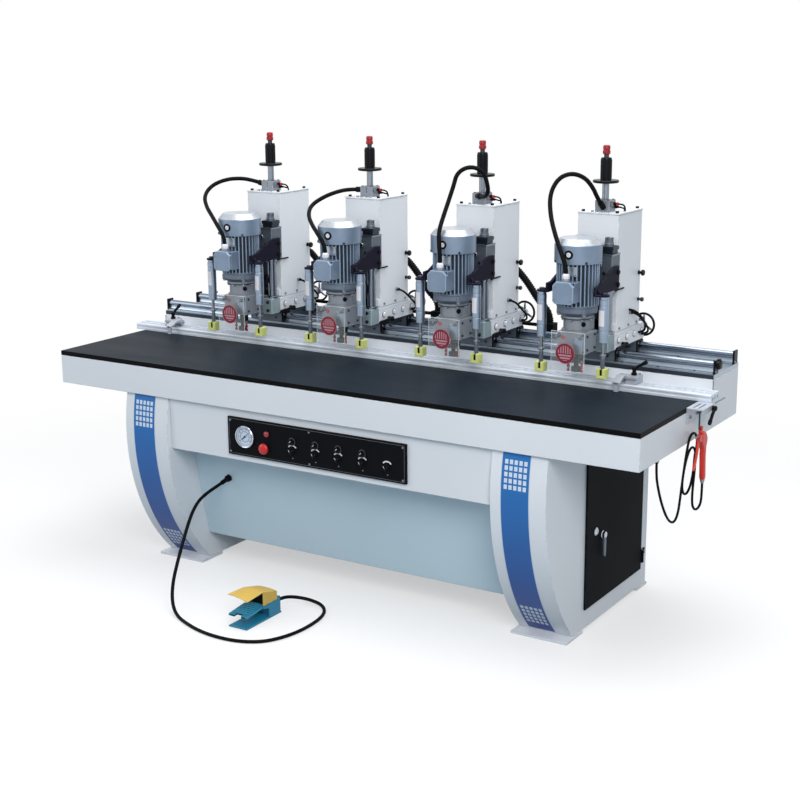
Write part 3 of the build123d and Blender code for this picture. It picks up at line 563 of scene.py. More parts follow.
@dataclass(frozen=True)
class RoundSign(Disc):
    """A plain round sign: a red disc with pale bars and no words."""

    radius: float = 0.0375
    pale: Colour = (196, 160, 172)

    def surface(self, tree: ShaderTree) -> dict[str, Any]:
        """Give the bars and the thin rim.

        Args:
            tree: The material's nodes.

        Returns:
            The sockets that vary.
        """
        right, up, out = self.polar(tree)
        bars = (right % 0.009 < 0.0042) * (up > 0.0) * (out < 0.74)
        lines = (up % 0.01 < 0.0062) * (up < -0.004) * (out < 0.7)
        worn = tree.noise(160.0, 2.0) * 0.6 + 0.4
        ink = (bars + lines + (out > 0.95) * 0.7) * worn
        return {"Base Color": tree.mix(ink, linear(self.colour), linear(self.pale))}


WHITE = Enamel("white_enamel", Slot.WHITE, (218, 222, 228), 0.38, coat=0.12, worn=(172, 178, 186))
# White enamel darkened and tinted blue as painted shade, for the sloping box.
PAINTED_SHADE_WHITE = Enamel("shaded_enamel", Slot.WHITE, (194, 214, 225), 0.38, coat=0.12, worn=(164, 176, 186))
BLACK = Enamel("black_enamel", Slot.BLACK, (17, 20, 24), 0.55, gloss=0.02, worn=(52, 56, 62))
ARM = Enamel("arm_enamel", Slot.BLACK, (27, 26, 40), 0.5, gloss=0.04, worn=(76, 76, 92))
TEAL = Enamel("teal_enamel", Slot.TEAL, (32, 130, 164), 0.42, worn=(120, 150, 160))
HOOD = Enamel("hood_enamel", Slot.TEAL, (214, 178, 84), 0.45, worn=(230, 216, 170))
PANEL = Enamel("panel_enamel", Slot.PLASTIC, (16, 18, 21), 0.5, gloss=0.03, worn=(48, 50, 54))
TOP = Laminate("table_laminate", Slot.TOP, (25, 33, 41), 0.45, gloss=0.03)
EDGE = Moulded("edge_band", Slot.TOP, (12, 13, 15), 0.45, gloss=0.04)
STEEL = Metal("ground_steel", Slot.STEEL, (134, 142, 152), 0.34)
DARK_STEEL = Metal("oiled_steel", Slot.STEEL, (62, 68, 76), 0.42)
RAIL = Metal("ground_rail", Slot.CHROME, (128, 138, 152), 0.2)
ALUMINIUM = Metal("anodised_aluminium", Slot.ALUMINIUM, (168, 180, 192), 0.36)
UPRIGHT = Metal("drawn_aluminium", Slot.ALUMINIUM, (146, 163, 182), 0.4, lines=(30.0, 30.0, 1.0))
CHROME = Metal("chrome_plate", Slot.CHROME, (178, 186, 196), 0.12, depth=0.01)
CAST = Casting("cast_steel", Slot.STEEL, (96, 104, 114), 0.5, 0.6)
CAST_TINT = Casting("cast_painted", Slot.STEEL, (140, 158, 162), 0.46, 0.25)
CAST_PALE = Casting("cast_aluminium", Slot.ALUMINIUM, (134, 140, 149), 0.46, 0.45)
SHEET = Metal("folded_sheet", Slot.ALUMINIUM, (180, 186, 196), 0.45, metallic=0.45)
DRAWN = Metal("fence_aluminium", Slot.ALUMINIUM, (206, 214, 224), 0.5, metallic=0.35)
MOTOR = Casting("motor_paint", Slot.MOTOR, (122, 139, 160), 0.4, 0.4)
# Nearly black motor grey: painted shade on the core between the ribs, and the dark seam under the
# terminal box's lid.
MOTOR_SHADE_AND_SEAM = Casting("motor_core", Slot.MOTOR, (34, 42, 52), 0.6, 0.1, gloss=0.2)
# Motor grey darkened as painted shade, for the flange and lugs under the motor and the fan cover's
# grille.
MOTOR_SHADE_GREY = Casting("motor_flange", Slot.MOTOR, (104, 116, 132), 0.48, 0.3)
# Paler, more metallic motor grey on the fan cover's top, as a painted highlight.
MOTOR_TOP_HIGHLIGHT = Casting("motor_cover", Slot.MOTOR, (178, 184, 192), 0.3, 0.65)
PLASTIC = Moulded("black_moulding", Slot.PLASTIC, (15, 16, 19), 0.46, gloss=0.06)
SATIN = Moulded("black_gloss", Slot.PLASTIC, (13, 14, 17), 0.28, gloss=0.13)
RUBBER = Moulded("hose_rubber_skin", Slot.HOSE, (14, 15, 17), 0.5, gloss=0.05, grain=500.0)
RED = Moulded("red_moulding", Slot.RED, (186, 30, 34), 0.34, coat=0.1)
GUN_RED = Moulded("gun_red", Slot.RED, (204, 48, 36), 0.38, coat=0.1)
CAP_RED = Moulded("cap_red", Slot.RED, (146, 22, 30), 0.42)
LAMP = Moulded("lamp_lens", Slot.RED, (150, 28, 32), 0.2, coat=0.3)
BIT_RED = Moulded("bit_red", Slot.RED, (140, 34, 38), 0.4)
PAD = Moulded("pad_yellow", Slot.PAD, (198, 206, 124), 0.5)
LINE = Finish("panel_line", Slot.ALUMINIUM, (112, 116, 124), 0.5)
LABEL = Finish("pale_label", Slot.ALUMINIUM, (222, 220, 226), 0.5)
PRINT = LegPrint("leg_print", Slot.WHITE, (34, 110, 178), 0.4, gloss=0.3)
CLEAR = Clear("clear_sheet", Slot.ALUMINIUM, (226, 236, 240), 0.05, alpha=0.07, gloss=0.3)
CLEAR_RIM = Clear("clear_sheet_rim", Slot.ALUMINIUM, (232, 240, 244), 0.1, alpha=0.5, gloss=0.3)
GLASS = Clear("gauge_glass", Slot.CHROME, (236, 242, 246), 0.03, alpha=0.06, gloss=0.3)


@dataclass(frozen=True)
class Bench:
    """Shapes pieces with the operators used by hand; its sizes are millimetres in the shop.

    The makers take a look as their last arguments: finish, edge width, segments and angle, as
    in dress. Without one the piece is left raw.
    """

    curve_order: int = 3
    curve_steps: int = 8
    tube_steps: int = 4
    screw_sides: int = 14
    nut_edge: float = 0.5
    rim_share: float = 0.9

    def only(self, piece: Piece) -> Piece:
        """Select one piece alone and make it active.

        Args:
            piece: The piece.

        Returns:
            The same piece.
        """
        bpy.ops.object.select_all(action="DESELECT")
        piece.select_set(True)
        bpy.context.view_layer.objects.active = piece
        return piece

    @contextmanager
    def editing(self, piece: Piece, kind: str = "FACE") -> Iterator[None]:
        """Open a piece in edit mode for a while.

        Args:
            piece: The piece to edit.
            kind: VERT, EDGE or FACE selection.

        Returns:
            A context that closes edit mode at its end.
        """
        self.only(piece)
        bpy.ops.object.mode_set(mode="EDIT")
        bpy.ops.mesh.select_mode(type=kind)
        yield
        bpy.ops.object.mode_set(mode="OBJECT")

    def pick(self, piece: Piece, test: Test) -> None:
        """Select faces by place.

        Args:
            piece: The piece, out of edit mode.
            test: Takes a face's middle, in shop millimetres, and its normal.
        """
        for part in list(piece.data.vertices) + list(piece.data.edges):
            part.select = False
        for side in piece.data.polygons:
            side.select = bool(test((side.center - TABLE_FRONT) / MM, side.normal))

    def settle(self, piece: Piece, matrix: Matrix) -> Piece:
        """Move a piece, keep its place in its mesh and turn its faces outwards.

        Args:
            piece: The piece.
            matrix: Where it goes.

        Returns:
            The same piece.
        """
        piece.matrix_world = matrix
        self.only(piece)
        bpy.ops.object.transform_apply(location=True, rotation=True, scale=True)
        with self.editing(piece):
            bpy.ops.mesh.select_all(action="SELECT")
            bpy.ops.mesh.normals_make_consistent(inside=False)
        return piece

    def block(self, low: Point, high: Point, *look: Any) -> Piece:
        """Add a box.

        Args:
            low: Its lowest corner.
            high: Its highest corner.
            look: Its dressing.

        Returns:
            The box.
        """
        middle = shop(*[(a + b) / 2 for a, b in zip(low, high)])
        bpy.ops.mesh.primitive_cube_add(size=1.0, location=middle)
        piece = bpy.context.object
        piece.scale = [(b - a) * MM for a, b in zip(low, high)]
        bpy.ops.object.transform_apply(location=True, rotation=True, scale=True)
        return self.dress(piece, *look) if look else piece

    def turned(self, profile: Sequence[Pair], at: Point, axis: Axis, sides: int,
               *look: Any) -> Piece:
        """Turn a piece by extruding and resizing a disc step by step.

        Args:
            profile: Radius and height of each step, from the first end to the last.
            at: Where the axis starts.
            axis: Direction of the axis.
            sides: Sides round the axis; 6 makes a hexagon.
            look: Its dressing.

        Returns:
            The closed piece.
        """
        radius, height = profile[0]
        bpy.ops.mesh.primitive_circle_add(vertices=sides, radius=radius * MM, fill_type="NGON",
                                          location=(0.0, 0.0, height * MM))
        piece = bpy.context.object
        bpy.ops.object.transform_apply(location=True, rotation=True, scale=True)
        with self.editing(piece):
            bpy.ops.mesh.select_all(action="SELECT")
            for wide, high in profile[1:]:
                bpy.ops.mesh.extrude_region_move(
                    TRANSFORM_OT_translate={"value": (0.0, 0.0, (high - height) * MM)})
                if wide != radius:
                    bpy.ops.transform.resize(value=(wide / radius, wide / radius, 1.0),
                                             center_override=(0.0, 0.0, 0.0))
                radius, height = wide, high
        self.settle(piece, axis.place(at))
        return self.dress(piece, *look) if look else piece

    def prism(self, outline: Sequence[Pair], start: float, end: float, axis: Axis,
              *look: Any) -> Piece:
        """Extrude an outline.

        Args:
            outline: Corners: (y, z) along X, (x, z) along Y or (x, y) along Z.
            start: Where it starts on the axis.
            end: Where it ends.
            axis: Direction of the extrusion.
            look: Its dressing.

        Returns:
            The closed piece.
        """
        bpy.ops.mesh.primitive_circle_add(vertices=len(outline), radius=1.0, fill_type="NGON")
        piece = bpy.context.object
        for corner, (a, b) in zip(piece.data.vertices, outline):
            corner.co = (a * MM, b * MM, start * MM)
        with self.editing(piece):
            bpy.ops.mesh.select_all(action="SELECT")
            bpy.ops.mesh.extrude_region_move(
                TRANSFORM_OT_translate={"value": (0.0, 0.0, (end - start) * MM)})
        self.settle(piece, axis.place((0, 0, 0)))
        return self.dress(piece, *look) if look else piece

    def line(self, name: str, points: Sequence[Vector], radius: float) -> Piece:
        """Lay a smooth NURBS line through control points.

        Args:
            name: Its name.
            points: Control points in metres in the shared frame.
            radius: Radius of its round section in millimetres, 0 for a bare line.

        Returns:
            The curve.
        """
        data = bpy.data.curves.new(name, "CURVE")
        data.dimensions = "3D"
        spline = data.splines.new("NURBS")
        spline.points.add(len(points) - 1)
        for place, point in zip(spline.points, points):
            place.co = (*point, 1.0)
        spline.order_u = self.curve_order
        spline.use_endpoint_u = True
        spline.resolution_u = self.curve_steps
        data.bevel_depth = radius * MM
        data.bevel_resolution = self.tube_steps
        data.use_fill_caps = True
        piece = bpy.data.objects.new(name, data)
        bpy.context.scene.collection.objects.link(piece)
        return piece

    def trace(self, points: Sequence[Vector]) -> list[Vector]:
        """Read the places along the smooth line of a route.

        Args:
            points: Control points in metres in the shared frame.

        Returns:
            The places from end to end.
        """
        bare = self.line("trace", points, 0.0)
        bpy.context.view_layer.update()
        mesh = bpy.data.meshes.new_from_object(bare)
        places = [corner.co.copy() for corner in mesh.vertices]
        bpy.data.objects.remove(bare)
        bpy.data.meshes.remove(mesh)
        return places

    def pipe(self, points: Sequence[Point], radius: float, *look: Any) -> Piece:
        """Bend a tube and make it a mesh.

        Args:
            points: Control points in the shop.
            radius: Its radius.
            look: Its dressing.

        Returns:
            The tube.
        """
        self.only(self.line("pipe", [shop(*p) for p in points], radius))
        bpy.ops.object.convert(target="MESH")
        piece = bpy.context.object
        return self.dress(piece, *look) if look else piece

    def cut(self, piece: Piece, *tools: Piece) -> Piece:
        """Take tools away from a piece.

        Args:
            piece: The piece.
            tools: What is taken away; they are used up.

        Returns:
            The same piece.
        """
        for tool in tools:
            cutter = piece.modifiers.new("cut", "BOOLEAN")
            cutter.operation = "DIFFERENCE"
            cutter.solver = "EXACT"
            cutter.object = tool
            self.only(piece)
            bpy.ops.object.modifier_apply(modifier=cutter.name)
            bpy.data.objects.remove(tool)
        return piece

    def join(self, *pieces: Piece) -> Piece:
        """Join pieces into the first.

        Args:
            pieces: The pieces.

        Returns:
            The first piece.
        """
        self.only(pieces[0])
        for piece in pieces[1:]:
            piece.select_set(True)
        if len(pieces) > 1:
            bpy.ops.object.join()
        return pieces[0]

    def copied(self, piece: Piece, offset: Point) -> Piece:
        """Copy a piece with its own mesh.

        Args:
            piece: The piece.
            offset: How far off the copy stands.

        Returns:
            The copy.
        """
        self.only(piece)
        bpy.ops.object.duplicate(linked=False)
        copy = bpy.context.object
        copy.location = Vector(offset) * MM
        bpy.ops.object.transform_apply(location=True, rotation=True, scale=True)
        return copy

    def row(self, piece: Piece, offsets: Sequence[Point]) -> Piece:
        """Copy a piece to each offset and join the copies to it."""
        return self.join(piece, *[self.copied(piece, offset) for offset in offsets])

    def mirrored(self, piece: Piece, x: float) -> Piece:
        """Copy a piece across an upright plane.

        Args:
            piece: The piece.
            x: Where the plane stands.

        Returns:
            The copy.
        """
        self.only(piece)
        bpy.ops.object.duplicate(linked=False)
        middle = Matrix.Translation(shop(x, 0, 0))
        flip = Matrix.Scale(-1.0, 4, (1, 0, 0))
        return self.settle(bpy.context.object, middle @ flip @ middle.inverted())

    def turn(self, piece: Piece, degrees: float, about: Point, axis: Axis) -> Piece:
        """Turn a piece.

        Args:
            piece: The piece.
            degrees: How far.
            about: A point on the axis.
            axis: The axis.

        Returns:
            The same piece.
        """
        middle = Matrix.Translation(shop(*about))
        spin = Matrix.Rotation(math.radians(degrees), 4, axis.name)
        return self.settle(piece, middle @ spin @ middle.inverted())

    def ring(self, piece: Piece, count: int, about: Point, axis: Axis) -> Piece:
        """Copy a piece evenly round an axis and join the copies.

        Args:
            piece: The piece.
            count: How many there are in the end.
            about: A point on the axis.
            axis: The axis.

        Returns:
            The joined piece.
        """
        copies = []
        for number in range(1, count):
            copy = self.copied(piece, (0, 0, 0))
            copies.append(self.turn(copy, 360 * number / count, about, axis))
        return self.join(piece, *copies)

    def inset(self, piece: Piece, test: Test, width: float, depth: float) -> Piece:
        """Inset chosen faces and push them in.

        Args:
            piece: The piece.
            test: Chooses faces, as in pick.
            width: How far in from the edges.
            depth: How deep; below nought it is raised.

        Returns:
            The same piece.
        """
        self.pick(piece, test)
        with self.editing(piece):
            bpy.ops.mesh.inset(thickness=width * MM, depth=-depth * MM, use_individual=False)
        return piece

    def dress(self, piece: Piece, finish: Optional[Finish] = None, width: float = 0.0,
              segments: int = 2, angle: float = SMOOTH_ANGLE) -> Piece:
        """Round the edges, shade the piece smooth between them and give it a finish.

        Args:
            piece: The piece.
            finish: Its finish, where it gets one now.
            width: How wide its edges are rounded, 0 for sharp ones.
            segments: Steps across a rounded edge.
            angle: Degrees between two faces from which their edge counts.

        Returns:
            The same piece.
        """
        if width:
            edge = piece.modifiers.new("edge", "BEVEL")
            edge.width = width * MM
            edge.segments = segments
            edge.limit_method = "ANGLE"
            edge.angle_limit = math.radians(angle)
            edge.use_clamp_overlap = True
            self.only(piece)
            bpy.ops.object.modifier_apply(modifier=edge.name)
            self.mark_rims(piece.data, width * MM)
        self.only(piece)
        bpy.ops.object.shade_smooth_by_angle(angle=math.radians(angle))
        weigh = piece.modifiers.new("weigh", "WEIGHTED_NORMAL")
        weigh.keep_sharp = True
        bpy.ops.object.modifier_apply(modifier=weigh.name)
        return self.paint(piece, finish) if finish else piece

    def mark_rims(self, mesh: bpy.types.Mesh, width: float) -> None:
        """Mark the narrow faces that rounding has left along the edges.

        Args:
            mesh: The rounded mesh.
            width: How wide its edges were rounded, in metres.
        """
        spots = [corner.co for corner in mesh.vertices]
        marks = []
        for face in mesh.polygons:
            loop = list(face.vertices)
            girth = sum((spots[a] - spots[b]).length for a, b in zip(loop, loop[1:] + loop[:1]))
            narrow = 2 * face.area < self.rim_share * width * girth
            marks.append(1.0 if narrow else 0.0)
        rim = mesh.attributes.get(RIM) or mesh.attributes.new(RIM, "FLOAT", "FACE")
        rim.data.foreach_set("value", marks)

    def paint(self, piece: Piece, finish: Finish) -> Piece:
        """Give a piece one finish.

        Args:
            piece: The piece.
            finish: The finish.

        Returns:
            The same piece.
        """
        piece.data.materials.clear()
        piece.data.materials.append(finish.material())
        return piece

    def paint_faces(self, piece: Piece, finish: Finish, test: Test) -> Piece:
        """Give chosen faces another finish.

        Args:
            piece: The piece.
            finish: The finish.
            test: Chooses faces, as in pick.

        Returns:
            The same piece.
        """
        self.pick(piece, test)
        piece.data.materials.append(finish.material())
        for side in piece.data.polygons:
            if side.select:
                side.material_index = len(piece.data.materials) - 1
        return piece

    def screw(self, at: Point, axis: Axis, radius: float, height: float, finish: Finish) -> Piece:
        """Make one socket-head screw.

        Args:
            at: The middle of its seat.
            axis: Its direction.
            radius: Radius of its head.
            height: Height of its head; below nought it faces the other way.
            finish: Its finish.

        Returns:
            The screw.
        """
        rim = math.copysign(min(0.8, radius / 5), height)
        profile = [(radius, 0.0), (radius, height - rim), (radius * 0.86, height),
                   (radius * 0.5, height), (radius * 0.45, height * 0.4)]
        return self.turned(profile, at, axis, self.screw_sides, finish)

    def screws(self, places: Sequence[Point], axis: Axis, radius: float, height: float,
               finish: Finish) -> Piece:
        """Make a set of equal screws as one piece."""
        first = self.screw(places[0], axis, radius, height, finish)
        return self.row(first, [[b - a for a, b in zip(places[0], place)] for place in places[1:]])

    def hexed(self, at: Point, axis: Axis, flats: float, height: float, finish: Finish) -> Piece:
        """Make a six-sided nut or bolt head with chamfered corners.

        Args:
            at: The middle of its seat.
            axis: Its direction.
            flats: Width across its flats.
            height: Its height.
            finish: Its finish.

        Returns:
            The head.
        """
        radius = flats / math.sqrt(3)
        profile = [(radius * 0.92, 0.0), (radius, height * 0.12), (radius, height * 0.85),
                   (radius * 0.88, height)]
        return self.turned(profile, at, axis, 6, finish, self.nut_edge)

    def deliver(self, piece: Piece, name: str, body: str, *nodes: str,
                slot: Optional[Slot] = None) -> Piece:
        """Hand a finished piece over.

        Args:
            piece: The piece, in its place.
            name: Its name.
            body: The body that it rides on.
            nodes: Solids that it stands for.
            slot: The record's slot, where it is not that of the first finish; it is not used.

        Returns:
            The piece.
        """
        piece.name = piece.data.name = name
        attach(piece, body)
        if nodes:
            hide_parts(*nodes)
        LOG.info("%s rides on %s", name, body)
        return piece


BENCH = Bench()


@dataclass
class Studio:
    """Camera, floor, soft lamps and a white surround."""

    eye: Point = (3012.8, -4193.1, 2070.7)
    yaw: float = 0.5479
    pitch: float = 0.2416
    roll: float = -0.0034
    lens: float = 66.63
    shift: float = -0.0308
    ambient: float = 0.46
    sky: Paint = (0.92, 0.96, 1.0, 1.0)
    white: Paint = (1.0, 1.0, 1.0, 1.0)
    floor_glow: float = 0.5
    floor_size: float = 60.0
    floor_fade: Pair = (1.7, 3.6)
    floor_paint: Paint = (0.88, 0.88, 0.9, 1.0)
    floor_bounce: Paint = (0.17, 0.24, 0.29, 1.0)
    floor_roughness: float = 0.9
    sensor: float = 36.0
    sight: float = 200.0
    aim: Point = (0, 350, 900)
    lamps: Sequence[tuple[str, Point, float, float, Point]] = (
        ("key_lamp", (3200, -3300, 3500), 2.4, 168.0, (1.0, 0.99, 0.97)),
        ("fill_lamp", (-3600, -2600, 2800), 3.0, 58.0, (0.95, 0.98, 1.0)),
        ("top_lamp", (300, 900, 4400), 3.2, 150.0, (1.0, 1.0, 1.0)))

    def build(self) -> None:
        """Set up the whole studio."""
        bpy.context.scene.view_settings.view_transform = "Standard"
        self.camera()
        self.floor()
        self.surround()
        for lamp in self.lamps:
            self.lamp(*lamp)

    def camera(self) -> None:
        """Stand the camera where the picture was taken."""
        ahead = Vector(
            (-math.sin(self.yaw) * math.cos(self.pitch), math.cos(self.yaw) * math.cos(self.pitch),
                -math.sin(self.pitch)))
        level = Vector((math.cos(self.yaw), math.sin(self.yaw), 0.0))
        above = level.cross(ahead)
        right = level * math.cos(self.roll) + above * math.sin(self.roll)
        up = above * math.cos(self.roll) - level * math.sin(self.roll)
        bpy.ops.object.camera_add()
        camera = bpy.context.object
        turn = Matrix((right, up, -ahead)).transposed().to_4x4()
        camera.matrix_world = Matrix.Translation(shop(*self.eye)) @ turn
        camera.data.lens = self.lens
        camera.data.sensor_width = self.sensor
        camera.data.shift_x = self.shift
        camera.data.clip_end = self.sight
        bpy.context.scene.camera = camera

    def seen(self, tree: ShaderTree) -> Wire:
        """Give 1 for what the camera, metal and glass see.

        Args:
            tree: The nodes.

        Returns:
            1 for these rays and 0 for light.
        """
        kinds = ("Camera", "Glossy", "Transmission")
        eye, metal, glass = [tree.node("ShaderNodeLightPath", output=f"Is {k} Ray") for k in kinds]
        return eye + metal + glass > 0.5

    def floor(self) -> None:
        """Lay a pale floor that keeps the shadow."""
        BENCH.only(bpy.context.object)
        bpy.ops.mesh.primitive_grid_add(x_subdivisions=4, y_subdivisions=4, size=self.floor_size)
        floor = bpy.context.object
        floor.name = "studio_floor"
        material = bpy.data.materials.new("floor_paint")
        material.use_nodes = True
        tree = ShaderTree(material.node_tree)
        place = tree.point()
        right, deep = tree.part(place, "X"), tree.part(place, "Y")
        far = right.sum("SQRT", right * right + deep * deep, 0.0)
        near, end = self.floor_fade
        share = tree.node(
            "ShaderNodeMapRange", {"interpolation_type": "SMOOTHSTEP"},
            {0: far, 1: near, 2: end, 3: self.floor_glow, 4: 1.0})
        rough = {"Roughness": self.floor_roughness}
        matt = tree.shader(rough | {"Base Color": self.floor_paint})
        glow = tree.node("ShaderNodeEmission", {}, {"Color": self.white, "Strength": 1.0})
        shown = tree.node("ShaderNodeMixShader", {}, {0: share, 1: matt, 2: glow})
        dull = tree.shader(rough | {"Base Color": self.floor_bounce})
        tree.close(tree.node("ShaderNodeMixShader", {}, {0: self.seen(tree), 1: dull, 2: shown}))
        floor.data.materials.append(material)

    def surround(self) -> None:
        """Make the surround white to the eye and softer as a light."""
        world = bpy.data.worlds.new("studio")
        world.use_nodes = True
        bpy.context.scene.world = world
        tree = ShaderTree(world.node_tree)
        light, white = [
            tree.node("ShaderNodeBackground", {}, {"Color": colour, "Strength": strength})
            for colour, strength in ((self.sky, self.ambient), (self.white, 1.0))]
        tree.close(
            tree.node("ShaderNodeMixShader", {}, {0: self.seen(tree), 1: light, 2: white}),
            "ShaderNodeOutputWorld")

    def lamp(self, name: str, at: Point, size: float, power: float, colour: Point) -> None:
        """Hang a soft square lamp.

        Args:
            name: Its name.
            at: Its place in shop millimetres.
            size: Its side in metres.
            power: Its power in watts.
            colour: Its tint.
        """
        bpy.ops.object.light_add(type="AREA", location=shop(*at))
        lamp = bpy.context.object
        lamp.name = name
        lamp.data.size = size
        lamp.data.energy = power
        lamp.data.color = colour
        lamp.rotation_euler = (shop(*self.aim) - shop(*at)).to_track_quat("-Z", "Y").to_euler()


@dataclass
class Hoses:
    """The pedal hose on the floor and the air hose in its hanging loops."""

    pedal_radius: float = 6.5
    air_radius: float = 4.25
    pedal_length: float = 1.7
    air_length: float = 1.41
    pedal_route: Sequence[Point] = (
        (-550, 146.75, 380.15), (-550, 103.7, 371.3), (-557, 44, 356), (-549, -20, 343),
        (-526, -88, 318), (-504, -147, 277), (-484, -202, 228), (-470, -248, 176),
        (-468, -277, 118), (-460, -298, 62), (-436, -318, 24), (-394, -340, 7), (-330, -370, 7.5),
        (-262, -394, 7), (-190, -408, 7.5), (-116, -408, 7), (-50, -394, 7.5), (6, -358, 7),
        (40, -300, 7.5), (58, -228, 7), (62, -152, 7.5), (54, -78, 7), (32, -18, 7.5),
        (-10, 24, 10), (-62, 28, 18), (-106, 2, 30), (-132, -50, 44), (-132, -95, 44))
    air_route: Sequence[Point] = (
        (1235, 177, 707), (1235, 177, 665), (1239, 188, 617), (1245, 204, 567), (1251, 228, 519),
        (1256, 260, 483), (1259, 296, 475), (1260, 322, 503), (1260, 334, 547), (1260, 346, 595),
        (1260, 360, 645), (1260, 376, 695), (1261, 391, 738), (1262, 410, 756), (1263, 437, 755),
        (1265, 455, 737), (1267, 454, 708), (1270, 426, 675), (1270, 424, 637), (1270, 412, 601),
        (1270, 394, 571), (1269, 368, 556), (1269, 340, 563), (1269, 324, 587), (1270, 324, 621),
        (1271, 334, 657), (1272, 350, 689), (1273, 370, 712), (1274, 396, 717), (1275, 417, 701),
        (1276, 421, 671), (1278, 412, 629), (1280, 400, 595), (1283, 386, 561), (1286, 378, 536),
        (1288, 378, 512.6), (1290.5, 395.6, 495), (1293.5, 420.4, 495), (1296, 438, 512.6),
        (1297, 438, 556), (1297, 438, 594))

    def build(self) -> None:
        """Lay both hoses."""
        self.lay(
            "pedal_hose_run", self.pedal_route, self.pedal_radius, self.pedal_length, "pedal_hose",
            "loose")
        self.lay(
            "air_hose_run", self.air_route, self.air_radius, self.air_length, "air_hose", "hanging")
        tip, out = Vector(self.pedal_route[0]), Vector(self.pedal_route[1])
        aim = (out - tip).normalized()
        sleeve = BENCH.pipe(
            [tip - aim * 6, tip + aim * 8, tip + aim * 24], self.pedal_radius + 2.2, PLASTIC, 0.8)
        BENCH.deliver(sleeve, "pedal_hose_sleeve", "base")

    def lay(self, name: str, route: Sequence[Point], radius: float, length: float, node: str,
            lay: str) -> None:
        """Lay one hose along its route.

        Args:
            name: The hose's name.
            route: Its control points in shop millimetres.
            radius: Its radius.
            length: Its length in metres; it is not used.
            node: The solid that it stands for.
            lay: How it lies; it is not used.
        """
        points = [shop(*p) for p in route]
        hose = BENCH.line(name, points, radius)
        hose.data.materials.append(RUBBER.material())
        BENCH.deliver(hose, name, "base", node)


@dataclass
class Table:
    """The white table body, its dark top and the bracket at its right end."""

    half: float = 1250.0
    depth: float = 887.0
    top_depth: float = 496.0
    strip_back: float = 635.0
    bottom: float = 721.0
    slab_bottom: float = 833.0
    top: float = 851.0
    beam_top: float = 898.0
    bracket_right: float = 1310.0
    bracket_y: Pair = (385.0, 495.0)
    fitting: Pair = (1235.0, 177.0)

    def build(self) -> None:
        """Make the body, the top and the bracket."""
        self.body()
        self.slab()
        self.bracket()
        self.lever()
        self.hook()

    def body(self) -> None:
        """Fold the white sheet body."""
        outline = [
            (0, self.bottom), (0, self.slab_bottom), (self.top_depth, self.slab_bottom),
            (self.top_depth, self.top), (self.strip_back, self.top),
            (self.strip_back, self.beam_top), (self.depth, self.beam_top),
            (self.depth, self.bottom)]
        body = BENCH.prism(outline, -self.half, self.half, X, WHITE, 2.6, 3)
        seams = [
            BENCH.block((side * self.half - 2, self.strip_back - 0.8, self.bottom + 8),
                (side * self.half + 0.2, self.strip_back + 0.8, self.beam_top - 4))
            for side in (-1, 1)]
        seam = BENCH.dress(BENCH.join(*seams), DARK_STEEL, 0.15, 1)
        BENCH.deliver(BENCH.join(body, seam), "table_body", "base", "table_frame")

    def slab(self) -> None:
        """Lay the dark top with its black edge band."""
        slab = BENCH.block(
            (-self.half, 0, self.slab_bottom), (self.half, self.top_depth, self.top), EDGE, 1.6, 3)
        BENCH.paint_faces(slab, TOP, lambda at, way: way.z > 0.95)
        BENCH.deliver(slab, "table_slab", "base", "table_top")

    def bracket(self) -> None:
        """Bend the slotted steel bracket."""
        out, low, high = self.bracket_right, self.top - 56, self.top
        outline = [
            (self.half, high), (self.half, low), (self.half + 6, low), (self.half + 6, high - 6),
            (out - 6, high - 6), (out - 6, high - 20), (out, high - 20), (out, high)]
        plate = BENCH.prism(outline, *self.bracket_y, Y)
        slots = [
            BENCH.block((self.half + a, self.bracket_y[0] + 14, high - 9),
                (self.half + a + 7, self.bracket_y[1] - 22, high + 3)) for a in (16, 34)]
        BENCH.cut(plate, *slots)
        BENCH.dress(plate, SHEET, 0.9)
        screws = BENCH.screws(
            [(self.half + 6, self.bracket_y[0] + a, high - 36) for a in (22, 88)], X, 6, 5, STEEL)
        rod = BENCH.turned(
            [(2.4, -14), (3, -12), (3, 126), (2.4, 128)], (out - 12, self.bracket_y[1], high - 9),
            Y, 14, STEEL)
        BENCH.deliver(BENCH.join(plate, screws, rod), "end_bracket", "base", slot=Slot.STEEL)

    def lever(self) -> None:
        """Make the bracket's clamp lever with its swollen end."""
        x, y, z = self.bracket_right + 8, self.bracket_y[1], self.top
        arm = BENCH.pipe(
            [(x, y - 23, z - 12), (x, y - 40, z - 26), (x, y - 52, z - 40), (x, y - 64, z - 54)],
            5.6)
        boss = BENCH.turned(
            [(8, -9), (9, -8), (9, 5), (7, 7), (3, 7.5)], (x, y - 23, z - 12), X, 20)
        tip = BENCH.turned(
            [(3, -13), (6.2, -9), (7, 2), (5.4, 9), (2, 11)], (x, y - 62, z - 50), Z, 20)
        BENCH.turn(tip, -42, (x, y - 62, z - 50), X)
        BENCH.dress(BENCH.join(arm, boss, tip), PLASTIC)
        BENCH.deliver(arm, "bracket_lever", "base")

    def hook(self) -> None:
        """Bend the wire hook and screw in the hose fitting."""
        x, y = self.half + 47, self.bracket_y[0] + 3
        wire = BENCH.pipe(
            [(x, y, 846), (x, y, 815), (x, y, 786), (x, y + 3, 781), (x, y + 10, 781),
                (x, y + 26, 781)], 3)
        nut = BENCH.turned([(5, 0), (7, 1), (7, 5), (5, 6)], (x, y, 839), Z, 6)
        BENCH.dress(BENCH.join(wire, nut), DARK_STEEL)
        BENCH.deliver(wire, "gun_hook", "base")
        x, y = self.fitting
        nut = BENCH.hexed((x, y, 712), Z, 16, 9, STEEL)
        collar = BENCH.turned([(5, 0), (6.5, 1), (6.5, 5), (5.5, 6)], (x, y, 706.5), Z, 20, PLASTIC)
        BENCH.deliver(BENCH.join(nut, collar), "hose_fitting", "base")


